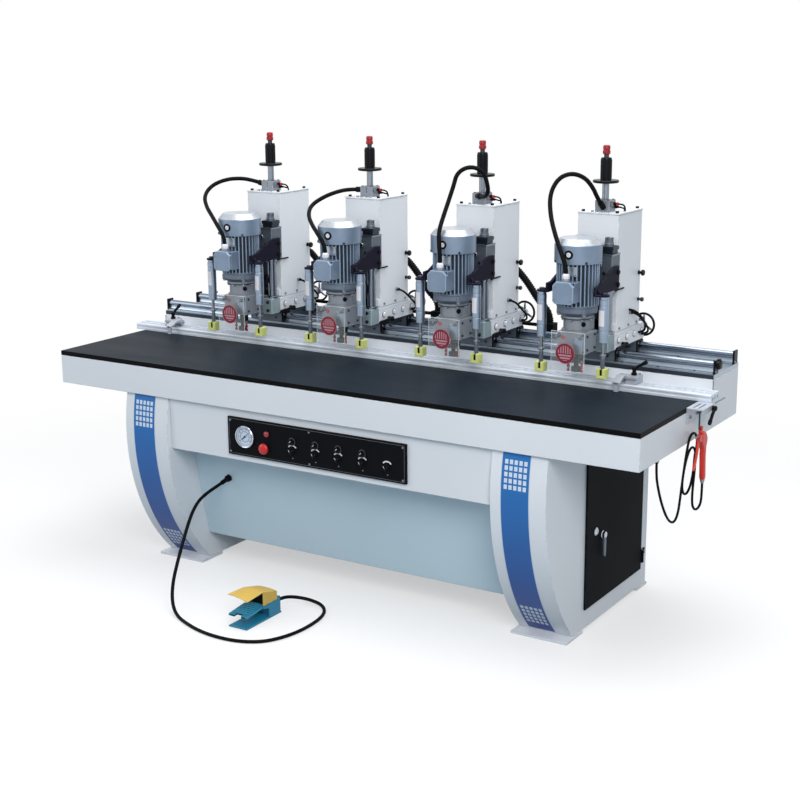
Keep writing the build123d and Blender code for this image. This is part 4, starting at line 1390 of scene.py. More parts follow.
@dataclass
class RailBed:
    """The bed plate with two supported round rails."""

    half: float = 1250.0
    rail_half: float = 1242.0
    front: float = 635.0
    back: float = 885.0
    low: float = 898.0
    high: float = 914.0
    rail_y: Pair = (663.0, 857.0)
    rail_z: float = 945.0
    radius: float = 12.5
    bolt_pitch: float = 138.0

    def build(self) -> None:
        """Make the bed, both rails and the end pieces."""
        bed = BENCH.block(
            (-self.half, self.front, self.low), (self.half, self.back, self.high), ALUMINIUM, 1.2)
        BENCH.paint_faces(bed, DARK_STEEL, lambda at, way: way.y < -0.9)
        holes = [(x, 760, self.high) for x in range(-1150, 1200, 230)]
        BENCH.join(bed, BENCH.screws(holes, Z, 6, 3, DARK_STEEL))
        BENCH.deliver(bed, "rail_bed", "base", "guide_rails", slot=Slot.STEEL)
        for name, y in zip(("front", "rear"), self.rail_y):
            self.rail(name, y)
        self.ends()

    def rail(self, name: str, y: float) -> None:
        """Make one rail on its web, with foot screws.

        Args:
            name: Front or rear.
            y: Where it runs.
        """
        outline = [
            (y - 20, self.high), (y + 20, self.high), (y + 20, self.high + 5),
            (y + 9, self.high + 7), (y + 6, self.high + 13), (y + 6, self.rail_z - 9),
            (y - 6, self.rail_z - 9), (y - 6, self.high + 13), (y - 9, self.high + 7),
            (y - 20, self.high + 5)]
        web = BENCH.prism(outline, -self.rail_half, self.rail_half, X, ALUMINIUM, 0.8)
        count = int(2 * self.rail_half / self.bolt_pitch)
        start = -self.bolt_pitch * (count - 1) / 2
        places = [
            (start + self.bolt_pitch * i, y + side, self.high + 5) for i in range(count)
            for side in (-15, 15)]
        BENCH.join(web, BENCH.screws(places, Z, 4.5, 2, DARK_STEEL))
        BENCH.deliver(web, f"{name}_rail_web", "base")
        end = self.rail_half
        rod = BENCH.turned(
            [(self.radius - 1, -end), (self.radius, 1 - end), (self.radius, end - 1),
                (self.radius - 1, end)], (0, y, self.rail_z), X, 28, RAIL)
        BENCH.deliver(rod, f"{name}_rail", "base")

    def ends(self) -> None:
        """Cap the rails at both ends."""
        caps = []
        for x in (-self.half, self.rail_half):
            for y in self.rail_y:
                cap = BENCH.block(
                    (x, y - 18, self.high), (x + 8, y + 18, self.rail_z + 18), SATIN, 2.4, 3)
                caps.append(cap)
                face, reach = (x + 8, 1.6) if x > 0 else (x, -1.6)
                spots = [(face, y + a, self.high + 8) for a in (-11, 11)]
                caps.append(BENCH.screws(spots, X, 3.6, reach, STEEL))
        x, y, z = self.half, self.rail_y[0], self.rail_z + 4
        lobe = BENCH.turned([(6, 2), (7, 4), (7, 13), (5, 15)], (x, y, z + 13), X, 16, None)
        BENCH.ring(lobe, 5, (x, y, z), X)
        hub = BENCH.turned(
            [(9, 0), (13, 2), (14, 4), (14, 13), (11, 16), (4, 17)], (x, y, z), X, 24, None)
        caps.append(BENCH.paint(BENCH.join(hub, lobe), SATIN))
        BENCH.deliver(BENCH.join(*caps), "rail_ends", "base")


@dataclass
class Fence:
    """The ruled aluminium fence with a flip stop at each end."""

    half: float = 1295.0
    front: float = 496.0
    back: float = 571.0
    low: float = 851.0
    high: float = 877.0
    stops: tuple[tuple[str, float, int], ...] = (("left", -1100.0, -1), ("right", 971.0, 1))
    axis: Pair = (535.0, 893.0)
    stop_size: Pair = (44.0, 28.0)

    def build(self) -> None:
        """Make the bar and both stops."""
        self.bar()
        for name, edge, side in self.stops:
            self.stop(name, edge, side)

    def bar(self) -> None:
        """Draw the bar with its grooves and hollow ends."""
        f, b, z = self.front, self.back, self.high
        outline = [
            (f, self.low), (b, self.low), (b, z), (f + 55, z), (f + 55, z - 7), (f + 46, z - 7),
            (f + 46, z), (f + 25, z), (f + 25, z - 7), (f + 16, z - 7), (f + 16, z), (f + 3, z),
            (f, z - 4), (f, z - 9), (f + 2, z - 11), (f + 2, z - 16), (f, z - 18)]
        bar = BENCH.prism(outline, -self.half, self.half, X)
        for end in (-self.half, self.half):
            hollows = [
                BENCH.block((end - 14, f + a, self.low + 4), (end + 14, f + c, z - 11))
                for a, c in ((6, 22), (28, 44), (52, 70))]
            BENCH.cut(bar, *hollows)
        ruled = Ruled(
            "ruled_aluminium", Slot.ALUMINIUM, (206, 214, 224), 0.5, near=shop(0, f + 25, 0).y,
            far=shop(0, f + 46, 0).y)
        BENCH.dress(bar, DRAWN, 0.7)
        BENCH.paint_faces(bar, ruled, lambda at, way: way.z > 0.9)
        BENCH.deliver(bar, "fence_bar", "base", "fence")

    def stop(self, name: str, edge: float, side: int) -> None:
        """Make one stop: block, clamp lever and hinged flap.

        Args:
            name: Left or right.
            edge: The block's inner face.
            side: -1 on the left, 1 on the right.
        """
        y, z = self.axis
        length, height = self.stop_size
        low, high = sorted((edge, edge + side * length))
        middle, top = (low + high) / 2, self.high + height
        block = BENCH.block((low, self.front + 9, self.high), (high, self.back - 5, top))
        groove = BENCH.block(
            (low - 3, self.front + 5, self.high + 10), (high + 3, self.front + 15, self.high + 16))
        BENCH.cut(block, groove)
        BENCH.dress(block, SHEET, 1.8)
        spots = [(middle + a, self.back - 14, top) for a in (-12, 12)]
        screws = BENCH.screws(spots, Z, 4, 3, DARK_STEEL)
        BENCH.deliver(BENCH.join(block, screws), f"stop_block_{name}", "base")
        post = BENCH.turned(
            [(9, 0), (10, 1), (10, 7), (7, 9), (7, 17), (9, 19), (9, 26), (6, 29), (2, 30)],
            (middle, y, top), Z, 20)
        way = (1, 0) if side > 0 else (0, 1)
        spots = [
            (middle + way[0] * out, y + way[1] * out, top + up)
            for out, up in ((0, 20), (12, 31), (29, 41), (33, 44), (40, 48), (47, 53))]
        arm = BENCH.pipe(spots[:4], 5.6)
        tip = BENCH.pipe(spots[3:], 6.8)
        BENCH.dress(BENCH.join(post, arm, tip), PLASTIC)
        BENCH.deliver(post, f"stop_lever_{name}", "base")
        near, far = sorted((edge - side * 0.3, edge - side * 30.3))
        f = self.front
        outline = [
            (y, z + 13), (f + 4, z + 13), (f - 34, z - 3), (f - 34, z - 13), (f - 2, z + 3),
            (y - 16, z + 3), (y, z - 13)] + arc((y, z), 13, -75, 75, 8)
        flap = BENCH.prism(outline, near, far, X, None, 1.4)
        foot = [(f - 34, z - 6), (f - 34, self.low + 3), (f - 24, self.low + 3), (f - 24, z - 4)]
        leg = BENCH.prism(foot, near + 7, far - 7, X, None, 1.4)
        BENCH.paint(BENCH.join(flap, leg), SHEET)
        pin = BENCH.turned([(4, -1), (5, 0), (5, 30), (4, 31)], (near, y, z), X, 18, STEEL)
        BENCH.deliver(
            BENCH.join(flap, pin), f"stop_flap_{name}", f"stop_{name}", f"flip_stop_{name}")


@dataclass
class Pedestal:
    """Both bowed legs, the boxes between them and the cabinet in the right leg."""

    inner: float = 710.0
    outer: float = 922.0
    arc_middle: Pair = (770.0, 560.0)
    arc_radius: float = 770.0
    low: float = 10.0
    high: float = 721.0
    back: float = 870.0
    base_back: float = 862.0
    panel_front: float = 22.0
    panel_low: float = 517.0
    slope: tuple[Pair, Pair] = ((143.0, 517.0), (226.0, 115.0))
    strip_half: float = 54.0
    strip_shift: float = -11.0
    door_y: Pair = (310.0, 805.0)
    door_z: Pair = (83.0, 680.0)
    hinge: Pair = (930.0, 812.0)
    hinge_levels: Pair = (108.0, 600.0)
    handle: Pair = (438.0, 332.0)
    lock: Pair = (384.0, 358.0)
    hose_root: Point = (-550.0, 170.25, 385.0)
    plates: tuple[Pair, Pair] = ((170.0, 300.0), (780.0, 875.0))
    gear_columns: tuple[Pair, ...] = ((70, 90), (180, 110), (310, 120))

    def build(self) -> None:
        """Make the legs, boxes, cabinet and door."""
        self.left_leg()
        self.boxes()
        self.cabinet()
        self.door()
        self.door_handle()
        for name, side in (("left", -1), ("right", 1)):
            self.strip(name, side * (self.inner + self.outer) / 2 + self.strip_shift)
            self.feet(name, side)

    def leg_outline(self, inset: float = 0.0) -> list[Pair]:
        """List the corners of a leg's side view.

        Args:
            inset: How far to shrink it.

        Returns:
            The corners as (y, z).
        """
        y, z = self.arc_middle
        radius = self.arc_radius - inset
        start = math.degrees(math.asin((self.low + inset - z) / radius))
        end = math.degrees(math.asin((self.high - inset - z) / radius))
        bow = [(2 * y - a, b) for a, b in arc((y, z), radius, start, end, 40)]
        return bow + [(self.back - inset, self.high - inset), (self.back - inset, self.low + inset)]

    def left_leg(self) -> None:
        """Make the closed left leg."""
        leg = BENCH.prism(self.leg_outline(), -self.outer, -self.inner, X, WHITE, 2.2, 3, 40)
        BENCH.deliver(leg, "left_leg", "base", "base_frame")

    def boxes(self) -> None:
        """Make the box behind the panel and the sloping box below it, in white with painted shade.
        """
        upper = BENCH.block(
            (-self.inner, self.panel_front, self.panel_low),
            (self.inner, self.base_back, self.high), WHITE, 3, 3)
        BENCH.deliver(upper, "upper_box", "base")
        outline = [
            *self.slope, (self.base_back, self.slope[1][1]), (self.base_back, self.slope[0][1])]
        # The sloping box gets its white darkened and tinted blue as painted shade.
        lower = BENCH.prism(outline, -self.inner, self.inner, X, PAINTED_SHADE_WHITE, 3, 3)
        BENCH.deliver(lower, "sloping_box", "base")
        lean = math.degrees(
            math.atan2(self.slope[1][0] - self.slope[0][0], self.slope[0][1] - self.slope[1][1]))
        x, y, z = self.hose_root
        face = (x, y - 14, z)
        gland = BENCH.hexed(face, Y, 26, 14, PLASTIC)
        dome = BENCH.turned([(11, 0), (11, -4), (8.6, -9), (7.5, -10)], face, Y, 24, PLASTIC)
        BENCH.join(gland, dome)
        BENCH.turn(gland, lean, self.hose_root, X)
        BENCH.deliver(gland, "floor_hose_gland", "base")

    def cabinet(self) -> None:
        """Make the right leg hollow, with its gear inside."""
        leg = BENCH.prism(self.leg_outline(), self.inner, self.outer, X)
        room = BENCH.prism(self.leg_outline(6), self.inner + 6, self.outer - 6, X)
        (front, rear), (low, high) = self.door_y, self.door_z
        mouth = BENCH.block(
            (self.outer - 14, front + 20, low + 20), (self.outer + 9, rear - 20, high - 20))
        BENCH.cut(leg, room, mouth)
        BENCH.dress(leg, WHITE, 1.6, 2, 40)
        BENCH.deliver(leg, "cabinet_shell", "base", "right_cabinet")
        x = self.inner + 6
        plate = BENCH.block((x, front + 40, low + 57), (x + 4, rear - 40, high - 40), STEEL, 1)
        gear = [plate]
        for shift, width in self.gear_columns:
            for depth, base, tall in ((80, high - 220, 110), (60, low + 137, 100)):
                box = BENCH.block(
                    (x + 4, front + shift, base),
                    (x + 4 + depth, front + shift + width, base + tall))
                BENCH.inset(box, lambda at, way: way.x > 0.9, 9, -6)
                gear.append(BENCH.dress(box, PLASTIC, 2))
                spots = [
                    (x + 4 + depth, front + shift + a, base + c)
                    for a in (14, width - 14) for c in (4.6, tall - 4.6)]
                gear.append(BENCH.screws(spots, X, 3.4, 2, STEEL))
        BENCH.deliver(BENCH.join(*gear), "cabinet_gear", "base", slot=Slot.PLASTIC)
        knuckles = []
        for level in self.hinge_levels:
            ring = BENCH.turned(
                [(6, 0), (7, 1), (7, 24), (6, 24.7)], (*self.hinge, level + 25.2), Z, 20, BLACK)
            leaf = BENCH.block(
                (self.outer, self.hinge[1], level + 25.5),
                (self.outer + 4, self.hinge[1] + 36, level + 49.5), BLACK, 1)
            screws = BENCH.screws(
                [(self.outer + 4, self.hinge[1] + a, level + 37) for a in (16, 28)], X, 4, 1.8,
                STEEL)
            knuckles += [ring, leaf, screws]
        BENCH.deliver(BENCH.join(*knuckles), "cabinet_hinges", "base")

    def door(self) -> None:
        """Make the black door with its knuckles and lock."""
        (front, rear), (low, high) = self.door_y, self.door_z
        x = self.outer + 8
        door = BENCH.block((self.outer + 0.5, front, low), (x, rear, high), BLACK, 2, 3)
        parts = [door]
        for level in self.hinge_levels:
            ring = BENCH.turned(
                [(6, 0.3), (7, 1.3), (7, 24), (6, 25)], (*self.hinge, level), Z, 20, BLACK)
            leaf = BENCH.block(
                (x - 4, rear - 10, level + 1), (x + 1.2, self.hinge[1], level + 24), BLACK, 1)
            pin = BENCH.turned(
                [(2, -3), (3.4, -2), (3.4, 52), (2, 53)], (*self.hinge, level), Z, 14, STEEL)
            parts += [ring, leaf, pin]
        lock = BENCH.turned(
            [(15, 0), (15, 2), (13, 4.5), (10, 6), (9, 5.2), (3, 5.2)], (x, *self.lock), X, 28,
            CHROME)
        key = BENCH.block(
            (x + 4.8, self.lock[0] - 0.9, self.lock[1] - 4),
            (x + 5.6, self.lock[0] + 0.9, self.lock[1] + 4), PLASTIC, 0.2, 1)
        parts += [lock, key]
        BENCH.deliver(BENCH.join(*parts), "door_leaf", "door", "cabinet_door")

    def door_handle(self) -> None:
        """Make the lever handle."""
        x = self.outer + 8.3
        y, z = self.handle
        hub = BENCH.turned(
            [(5, -6), (5, 0), (14, 0), (14, 3), (11.5, 5), (11.5, 14), (9, 16), (3, 16.4)],
            (x, y, z), X, 28, None)
        grip = BENCH.prism(
            [(y - 7, z + 4), (y - 7, z - 30), (y - 6, z - 72), (y - 3, z - 82), (y + 3, z - 82),
                (y + 6, z - 72), (y + 7, z - 30), (y + 7, z + 4)], x + 6, x + 15, X, CAST, 2.6, 3)
        BENCH.join(BENCH.paint(hub, CHROME), grip)
        BENCH.deliver(hub, "door_lever", "handle", "door_handle")

    def strip(self, name: str, x: float) -> None:
        """Bend the printed strip over the front of a leg.

        Args:
            name: Left or right.
            x: Its middle.
        """
        bpy.ops.mesh.primitive_grid_add(x_subdivisions=2, y_subdivisions=48, size=1.0)
        sheet = bpy.context.object
        y, z = self.arc_middle
        radius = self.arc_radius + 0.15
        start = math.asin((self.low + 8 - z) / radius)
        end = math.asin((self.high - 2 - z) / radius)
        for corner in sheet.data.vertices:
            lean = start + (end - start) * (corner.co.y + 0.5)
            across = x + 2 * self.strip_half * corner.co.x
            corner.co = shop(across, y - radius * math.cos(lean), z + radius * math.sin(lean))
        wall = sheet.modifiers.new("wall", "SOLIDIFY")
        wall.thickness = 0.7 * MM
        wall.offset = 1.0
        BENCH.only(sheet)
        bpy.ops.object.modifier_apply(modifier=wall.name)
        BENCH.dress(sheet, PRINT)
        BENCH.deliver(sheet, f"{name}_leg_strip", "base")

    def feet(self, name: str, side: int) -> None:
        """Weld the floor plates under a leg.

        Args:
            name: Left or right.
            side: -1 on the left, 1 on the right.
        """
        low, high = sorted((side * (self.inner - 5), side * (self.outer + 5)))
        plates = []
        for front, rear in self.plates:
            plates.append(BENCH.block((low, front, 0), (high, rear, self.low), WHITE, 1.6))
        BENCH.deliver(BENCH.join(*plates), f"{name}_feet", "base")


@dataclass
class ControlPanel:
    """The black panel with gauge, lamp, stop button, switches and air knobs."""

    x: Pair = (-420.0, 370.0)
    z: Pair = (541.0, 687.0)
    back: float = 22.0
    face: float = 12.0
    gauge: Pair = (-335.0, 619.0)
    lamp: Pair = (-236.0, 641.0)
    stop: Pair = (-247.0, 585.0)
    switch_x: tuple[float, ...] = (-122.0, -19.0, 82.0, 186.0)
    switch_z: float = 628.0
    switch_sizes: tuple[float, ...] = (12.4, 12, 8.0, 45)
    knob_x: tuple[float, ...] = (-122.0, -19.0, 82.0, 186.0, 291.0)
    knob_z: float = 592.0
    knob_sizes: tuple[float, ...] = (11, 14, 5.0, -30)

    def build(self) -> None:
        """Make the plate and all that sits in it."""
        self.plate()
        self.pressure_gauge()
        self.indicator()
        self.stop_button()
        self.knobs()

    def plate(self) -> None:
        """Make the plate with its pale line, screws and scales."""
        (left, right), (low, high) = self.x, self.z
        plate = BENCH.block((left, self.face, low), (right, self.back, high), PANEL, 1.2)
        parts = [plate]
        y = (self.face - 0.35, self.face + 1)
        lines = [
            ((left + 7, low + 6), (right - 7, low + 7)),
            ((left + 7, high - 7), (right - 7, high - 6)),
            ((left + 7, low + 6), (left + 8, high - 6)),
            ((right - 8, low + 6), (right - 7, high - 6))]
        for (a, b), (c, d) in lines:
            parts.append(BENCH.block((a, y[0], b), (c, y[1], d), LINE, 0.15, 1))
        for x in self.knob_x:
            at = (x, self.knob_z)
            outline = arc(at, 24.5, 40, 140, 12) + arc(at, 19.5, 140, 40, 12)
            parts.append(BENCH.prism(outline, self.face - 0.4, self.face + 1, Y, LABEL, 0.1, 1))
            dot = BENCH.turned(
                [(2.2, 0), (2.6, -0.4), (1.8, -0.6)], (x + 2, self.face, self.knob_z - 27), Y, 14,
                LINE)
            parts.append(dot)
        corners = [
            (x, self.face, z) for x in (left + 13, right - 13) for z in (low + 13, high - 13)]
        middle = [((left + right) / 2 - 20, self.face, z) for z in (low + 13, high - 13)]
        parts.append(BENCH.screws(corners + middle, Y, 4, -2.2, STEEL))
        BENCH.deliver(BENCH.join(*parts), "panel_plate", "base", "control_panel")

    def pressure_gauge(self) -> None:
        """Make the gauge: bezel, face, pointer and glass."""
        x, z = self.gauge
        at = (x, self.face, z)
        bezel = BENCH.turned(
            [(44, 0), (44, -8), (42.5, -12), (40, -14), (37.5, -12.5), (37, -9), (37, -6)], at, Y,
            48, CHROME)
        middle = shop(x, 0, z)
        card = Face("gauge_card", Slot.CHROME, (198, 210, 226), 0.45, x=middle.x, z=middle.z)
        face = BENCH.turned(
            [(37, 0), (37.2, -0.8), (36.5, -1.2)], (x, self.face - 6, z), Y, 48, card)
        hand = BENCH.prism(
            [(x - 14, z - 9), (x - 10, z - 13), (x + 23, z + 19)], self.face - 9, self.face - 8.2,
            Y, PLASTIC, 0.2, 1)
        boss = BENCH.turned([(4, -7), (4, -9.6), (2.5, -10.4)], at, Y, 18, PLASTIC)
        glass = BENCH.turned(
            [(37.4, -11), (37.4, -11.6), (22, -12.2), (6, -12.4)], at, Y, 48, GLASS)
        BENCH.deliver(BENCH.join(bezel, face, hand, boss), "pressure_gauge", "base")
        BENCH.deliver(glass, "gauge_window", "base")

    def indicator(self) -> None:
        """Make the red lamp."""
        at = (self.lamp[0], self.face, self.lamp[1])
        ring = BENCH.turned(
            [(14, 0), (14, -2), (12.5, -3.5), (11.4, -3.5), (11.2, -2)], at, Y, 28, PLASTIC)
        lens = BENCH.turned(
            [(11, -2), (11, -6), (9.5, -8), (6, -9.4), (2, -9.9)], at, Y, 28, LAMP, 0, 2, 60)
        BENCH.deliver(BENCH.join(ring, lens), "red_lamp", "base", slot=Slot.RED)

    def stop_button(self) -> None:
        """Make the mushroom stop button."""
        at = (self.stop[0], self.face, self.stop[1])
        cap = BENCH.turned(
            [(9, 0.5), (9, -7), (20, -7), (21, -8.5), (21, -12), (19.4, -16), (15, -19), (8, -20.6),
                (2, -21)], at, Y, 36, RED, 0, 2, 50)
        BENCH.deliver(cap, "stop_mushroom", "stop_button", "emergency_stop")
        collar = BENCH.turned(
            [(24, 0.2), (24, -0.7), (22, -1.3), (12, -1.3), (11, -0.5)], at, Y, 36, PLASTIC)
        BENCH.deliver(collar, "stop_collar", "base")

    def knobs(self) -> None:
        """Make the switches and air knobs, one of each kind, and copy them."""
        x, z = self.switch_x[0], self.switch_z
        ring = BENCH.turned(
            [(15, 0), (15, -1.6), (13.5, -2.6), (12, -2.6)], (x, self.face, z), Y, 28, DARK_STEEL)
        rings = BENCH.row(ring, [(a - x, 0, 0) for a in self.switch_x[1:]])
        BENCH.deliver(rings, "switch_rings", "base")
        kinds = (
            ("switch_knob", "switch", "selector", self.switch_x, z, self.switch_sizes),
            ("valve_knob", "valve", "air_knob", self.knob_x, self.knob_z, self.knob_sizes))
        for name, body, node, places, level, sizes in kinds:
            pattern = self.knob(places[0], level, *sizes)
            for number, place in enumerate(places, 1):
                copy = BENCH.copied(pattern, (place - places[0], 0, 0))
                BENCH.deliver(copy, f"{name}_{number}", f"{body}_{number}", f"{node}_{number}")
            bpy.data.objects.remove(pattern)

    def knob(self, x: float, z: float, radius: float, length: float, grip: float,
             lean: float) -> Piece:
        """Make one knob with a grip bar and a pale pointer.

        Args:
            x: Its place across.
            z: Its height.
            radius: Its radius.
            length: How far its body stands out.
            grip: How far its grip bar stands out beyond that.
            lean: Degrees that the grip leans.

        Returns:
            The knob.
        """
        at = (x, self.face, z)
        body = BENCH.turned(
            [(4, 8), (4, -0.3), (radius, -0.3), (radius, -3), (radius * 0.86, -5),
                (radius * 0.8, -length), (radius * 0.7, -length - 1)], at, Y, 24, None)
        flute = BENCH.block(
            (x - 1.1, self.face - length + 1, z + radius * 0.74),
            (x + 1.1, self.face - 5, z + radius * 0.92), None, 0.4, 1)
        BENCH.ring(flute, 12, at, Y)
        bar = BENCH.block(
            (x - 3, self.face - length - grip, z - radius * 0.95),
            (x + 3, self.face - length + 2, z + radius * 0.95), None, 1.2)
        BENCH.paint(BENCH.join(body, flute, bar), SATIN)
        mark = BENCH.block(
            (x - 0.9, self.face - length - grip - 0.3, z + 1),
            (x + 0.9, self.face - length - grip + 1, z + radius * 0.9), LABEL, 0.2, 1)
        BENCH.join(body, mark)
        return BENCH.turn(body, lean, at, Y)


@dataclass
class FootPedal:
    """The foot valve: plate, body, hood and treadle."""

    x: Pair = (-196.0, -114.0)
    y: Pair = (-298.0, -90.0)
    axis: Pair = (-150.0, 62.0)
    plate: float = 6.0
    roof_y: Pair = (-294.0, -200.0)
    vault_y: Pair = (-201.0, -118.0)
    hood_z: Pair = (62.0, 119.0)
    hood_wall: float = 3.0
    hood_tilt: float = 3.0
    hood_crown: float = 14.0
    hood_steps: int = 12
    back_drop: float = 22.0
    rivets: Pair = (-136.0, -184.0)
    rivet_z: float = 72.0
    tread_z: Pair = (42.0, 50.0)
    ribs: int = 7
    rib_pitch: float = 13.0

    def build(self) -> None:
        """Make the fixed parts and the treadle."""
        self.base()
        self.hood()
        self.treadle()

    def base(self) -> None:
        """Make the plate, valve body and cheeks."""
        (left, right), (front, rear), thick = self.x, self.y, self.plate
        plate = BENCH.block((left, front, 0), (right, rear, thick), None, 1.6)
        body = BENCH.block(
            (left + thick, self.axis[0] + 10, thick), (right - thick, rear - 5, 64), None, 4, 3)
        outline = [
            (-162, thick), (-162, 40), (-198, 48), (-198, 66), (rear - 12, 70), (rear - 5, 66),
            (rear - 5, thick)]
        cheeks = [
            BENCH.prism(outline, low, low + thick, X, None, 1) for low in (left, right - thick)]
        BENCH.paint(BENCH.join(plate, body, *cheeks), TEAL)
        port = BENCH.hexed(((left + right) / 2 + 23, rear - 5, 44), Y, 18, 9, STEEL)
        BENCH.deliver(BENCH.join(plate, port), "pedal_base", "base", "foot_pedal")

    def hood(self) -> None:
        """Fold the yellow hood: a vaulted roof that runs forward from two short sides."""
        wall, steps, (low, high) = self.hood_wall, self.hood_steps, self.hood_z
        left, right = self.x[0] - wall, self.x[1] + wall
        over = []
        for t in range(steps + 1):
            rise = self.hood_crown * t * (steps - t) / steps ** 2
            x, z = left + (right - left) * t / steps, high - t * self.hood_tilt / steps + rise
            over.append((x, z))
        under = [(x, z - wall) for x, z in reversed(over)]
        roof = BENCH.prism(over + under, *self.roof_y, Y)
        sides = [(right, low), (right - wall, low)] + [
            (min(max(x, left + wall), right - wall), z) for x, z in under]
        vault = BENCH.prism(over + sides + [(left + wall, low), (left, low)], *self.vault_y, Y)
        for corner in vault.data.vertices:
            if corner.co.y > shop(0, self.vault_y[1] - 12, 0).y and corner.co.z > (low + 8) * MM:
                corner.co.z -= self.back_drop * MM
        for corner in roof.data.vertices:
            if corner.co.y < shop(0, -270, 0).y:
                corner.co.z += (
                    4 - 11 * (corner.co.x - shop(left, 0, 0).x) / (right - left) / MM) * MM
        back = BENCH.prism(
            [(x, z - self.back_drop - 1) for x, z in over]
            + [(right - 1, low - 2), (left + 1, low - 2)], -121, -118.4, Y)
        hood = BENCH.join(*[BENCH.dress(part, None, 0.8) for part in (roof, vault, back)])
        rivets = [
            BENCH.screws([(x, y, self.rivet_z) for y in self.rivets], X, 3.6, height, HOOD)
            for x, height in ((right, 1.8), (left, -1.8))]
        # A black wall across the hood's interior, painted as the shade inside the hood.
        screen = BENCH.block((left + 4, -196, 66), (right - 4, -190, 108), BLACK, 1)
        BENCH.deliver(BENCH.join(BENCH.paint(hood, HOOD), *rivets, screen), "pedal_hood", "base")

    def treadle(self) -> None:
        """Make the notched treadle with its grip ribs and pin."""
        low, high = self.x[0] + 6.5, self.x[1] - 6.5
        (y, z), (under, over) = self.axis, self.tread_z
        front = self.y[0] + 2
        plate = BENCH.prism([(y, z + 5), (y, z - 3), (front, under), (front, over)], low, high, X)
        wide = BENCH.prism(
            [(-204, 60.4), (-204, 52.4), (front, under + 0.1), (front, over + 0.1)],
            self.x[0] - 1, self.x[1] + 1, X)
        middle = (low + high) / 2
        for sheet in (plate, wide):
            notch = BENCH.block((middle - 14, front - 6, 30), (middle + 14, front + 16, 64))
            BENCH.cut(sheet, notch)
            BENCH.dress(sheet, None, 1.6)
        BENCH.paint(BENCH.join(plate, wide), TEAL)
        slope = (z + 5 - over) / (y - front)
        ribs = []
        for step in range(self.ribs):
            at = front + 24 + self.rib_pitch * step
            top = over + slope * (at - front)
            rib = BENCH.prism(
                [(at, top - 1), (at + 2, top + 2.4), (at + 6, top + 2.8), (at + 8, top)], low + 5,
                high - 5, X, None, 0.5, 1)
            ribs.append(rib)
        BENCH.paint(BENCH.join(*ribs), TEAL)
        barrel = BENCH.turned(
            [(6, low), (7, low + 1), (7, high - 1), (6, high)], (0, y, z), X, 24, TEAL)
        pin = BENCH.turned(
            [(3, self.x[0] - 2.4), (4, self.x[0] - 1.8), (4, self.x[1] + 1.8),
                (3, self.x[1] + 2.4)], (0, y, z), X, 20, STEEL)
        BENCH.deliver(
            BENCH.join(plate, ribs[0], barrel, pin), "pedal_tread_plate", "pedal_tread", "treadle")


@dataclass
class AirGun:
    """The red air gun on its hook."""

    x: float = 1297.0
    y: float = 388.0
    top: float = 851.0
    half: float = 9.0

    def side(self, points: Sequence[Pair]) -> list[Pair]:
        """Place side-view corners measured from the hook and the table top."""
        return [(self.y + a, self.top + b) for a, b in points]

    def build(self) -> None:
        """Make the body, its metal ends and the trigger."""
        outline = self.side(
            [(10, -98), (14, -88), (24, -83), (38, -83), (52, -90), (63, -106), (65, -120),
                (56, -140), (54, -176), (60, -248), (57, -257), (42, -257), (39, -250), (35, -190),
                (33, -150), (24, -132), (12, -118)])
        body = BENCH.prism(outline, self.x - self.half, self.x + self.half, X, None, 5.0, 4, 30)
        panel = BENCH.prism(
            self.side([(36, -160), (44, -248), (55, -248), (46, -160)]), self.x - self.half - 0.4,
            self.x + self.half + 0.4, X)
        rib = BENCH.prism(
            self.side([(18, -112), (22, -92), (44, -92), (57, -108), (56, -118), (30, -128)]),
            self.x - self.half - 0.6, self.x + self.half + 0.6, X)
        cheeks = [
            BENCH.prism(self.side([(-8, -112), (-8, -96), (0, -90), (20, -90), (20, -114)]),
                self.x + a, self.x + a + 3, X) for a in (-8, 5)]
        eye = BENCH.block(
            (self.x - 6, self.y + 10, self.top - 84), (self.x + 6, self.y + 22, self.top - 61))
        BENCH.cut(eye, BENCH.turned([(3.4, 0), (3.4, 30)], (self.x, self.y, self.top - 70), Y, 20))
        trims = [BENCH.dress(trim, None, 1.0) for trim in (panel, rib, *cheeks, eye)]
        BENCH.paint(BENCH.join(body, *trims), GUN_RED)
        nozzle = BENCH.turned(
            [(4.4, 6), (4.4, -4), (3.6, -6), (3.2, -18), (2.4, -23), (1.2, -24)],
            (self.x, self.y - 6, self.top - 93), Y, 20)
        foot = (self.x, self.y + 50, self.top - 257)
        nut = BENCH.turned([(5, -13), (6.4, -12), (6.4, -5), (8.4, -4), (8.4, 3)], foot, Z, 20)
        BENCH.dress(BENCH.join(nozzle, nut), STEEL)
        BENCH.deliver(BENCH.join(body, nozzle), "gun_body", "base", "air_gun")
        arm = BENCH.prism(
            self.side([(-6, -99), (1, -99), (3, -115), (-8, -151), (-24, -190), (-38, -206),
                (-43, -202), (-32, -185), (-16, -150), (-8, -115)]), self.x - 4, self.x + 4, X,
            GUN_RED, 1.4)
        pin = BENCH.turned(
            [(2, -8.6), (2.5, -8), (2.5, 8), (2, 8.6)], (self.x, self.y - 3, self.top - 103), X, 16,
            STEEL)
        BENCH.deliver(BENCH.join(arm, pin), "gun_lever", "trigger", "gun_trigger")


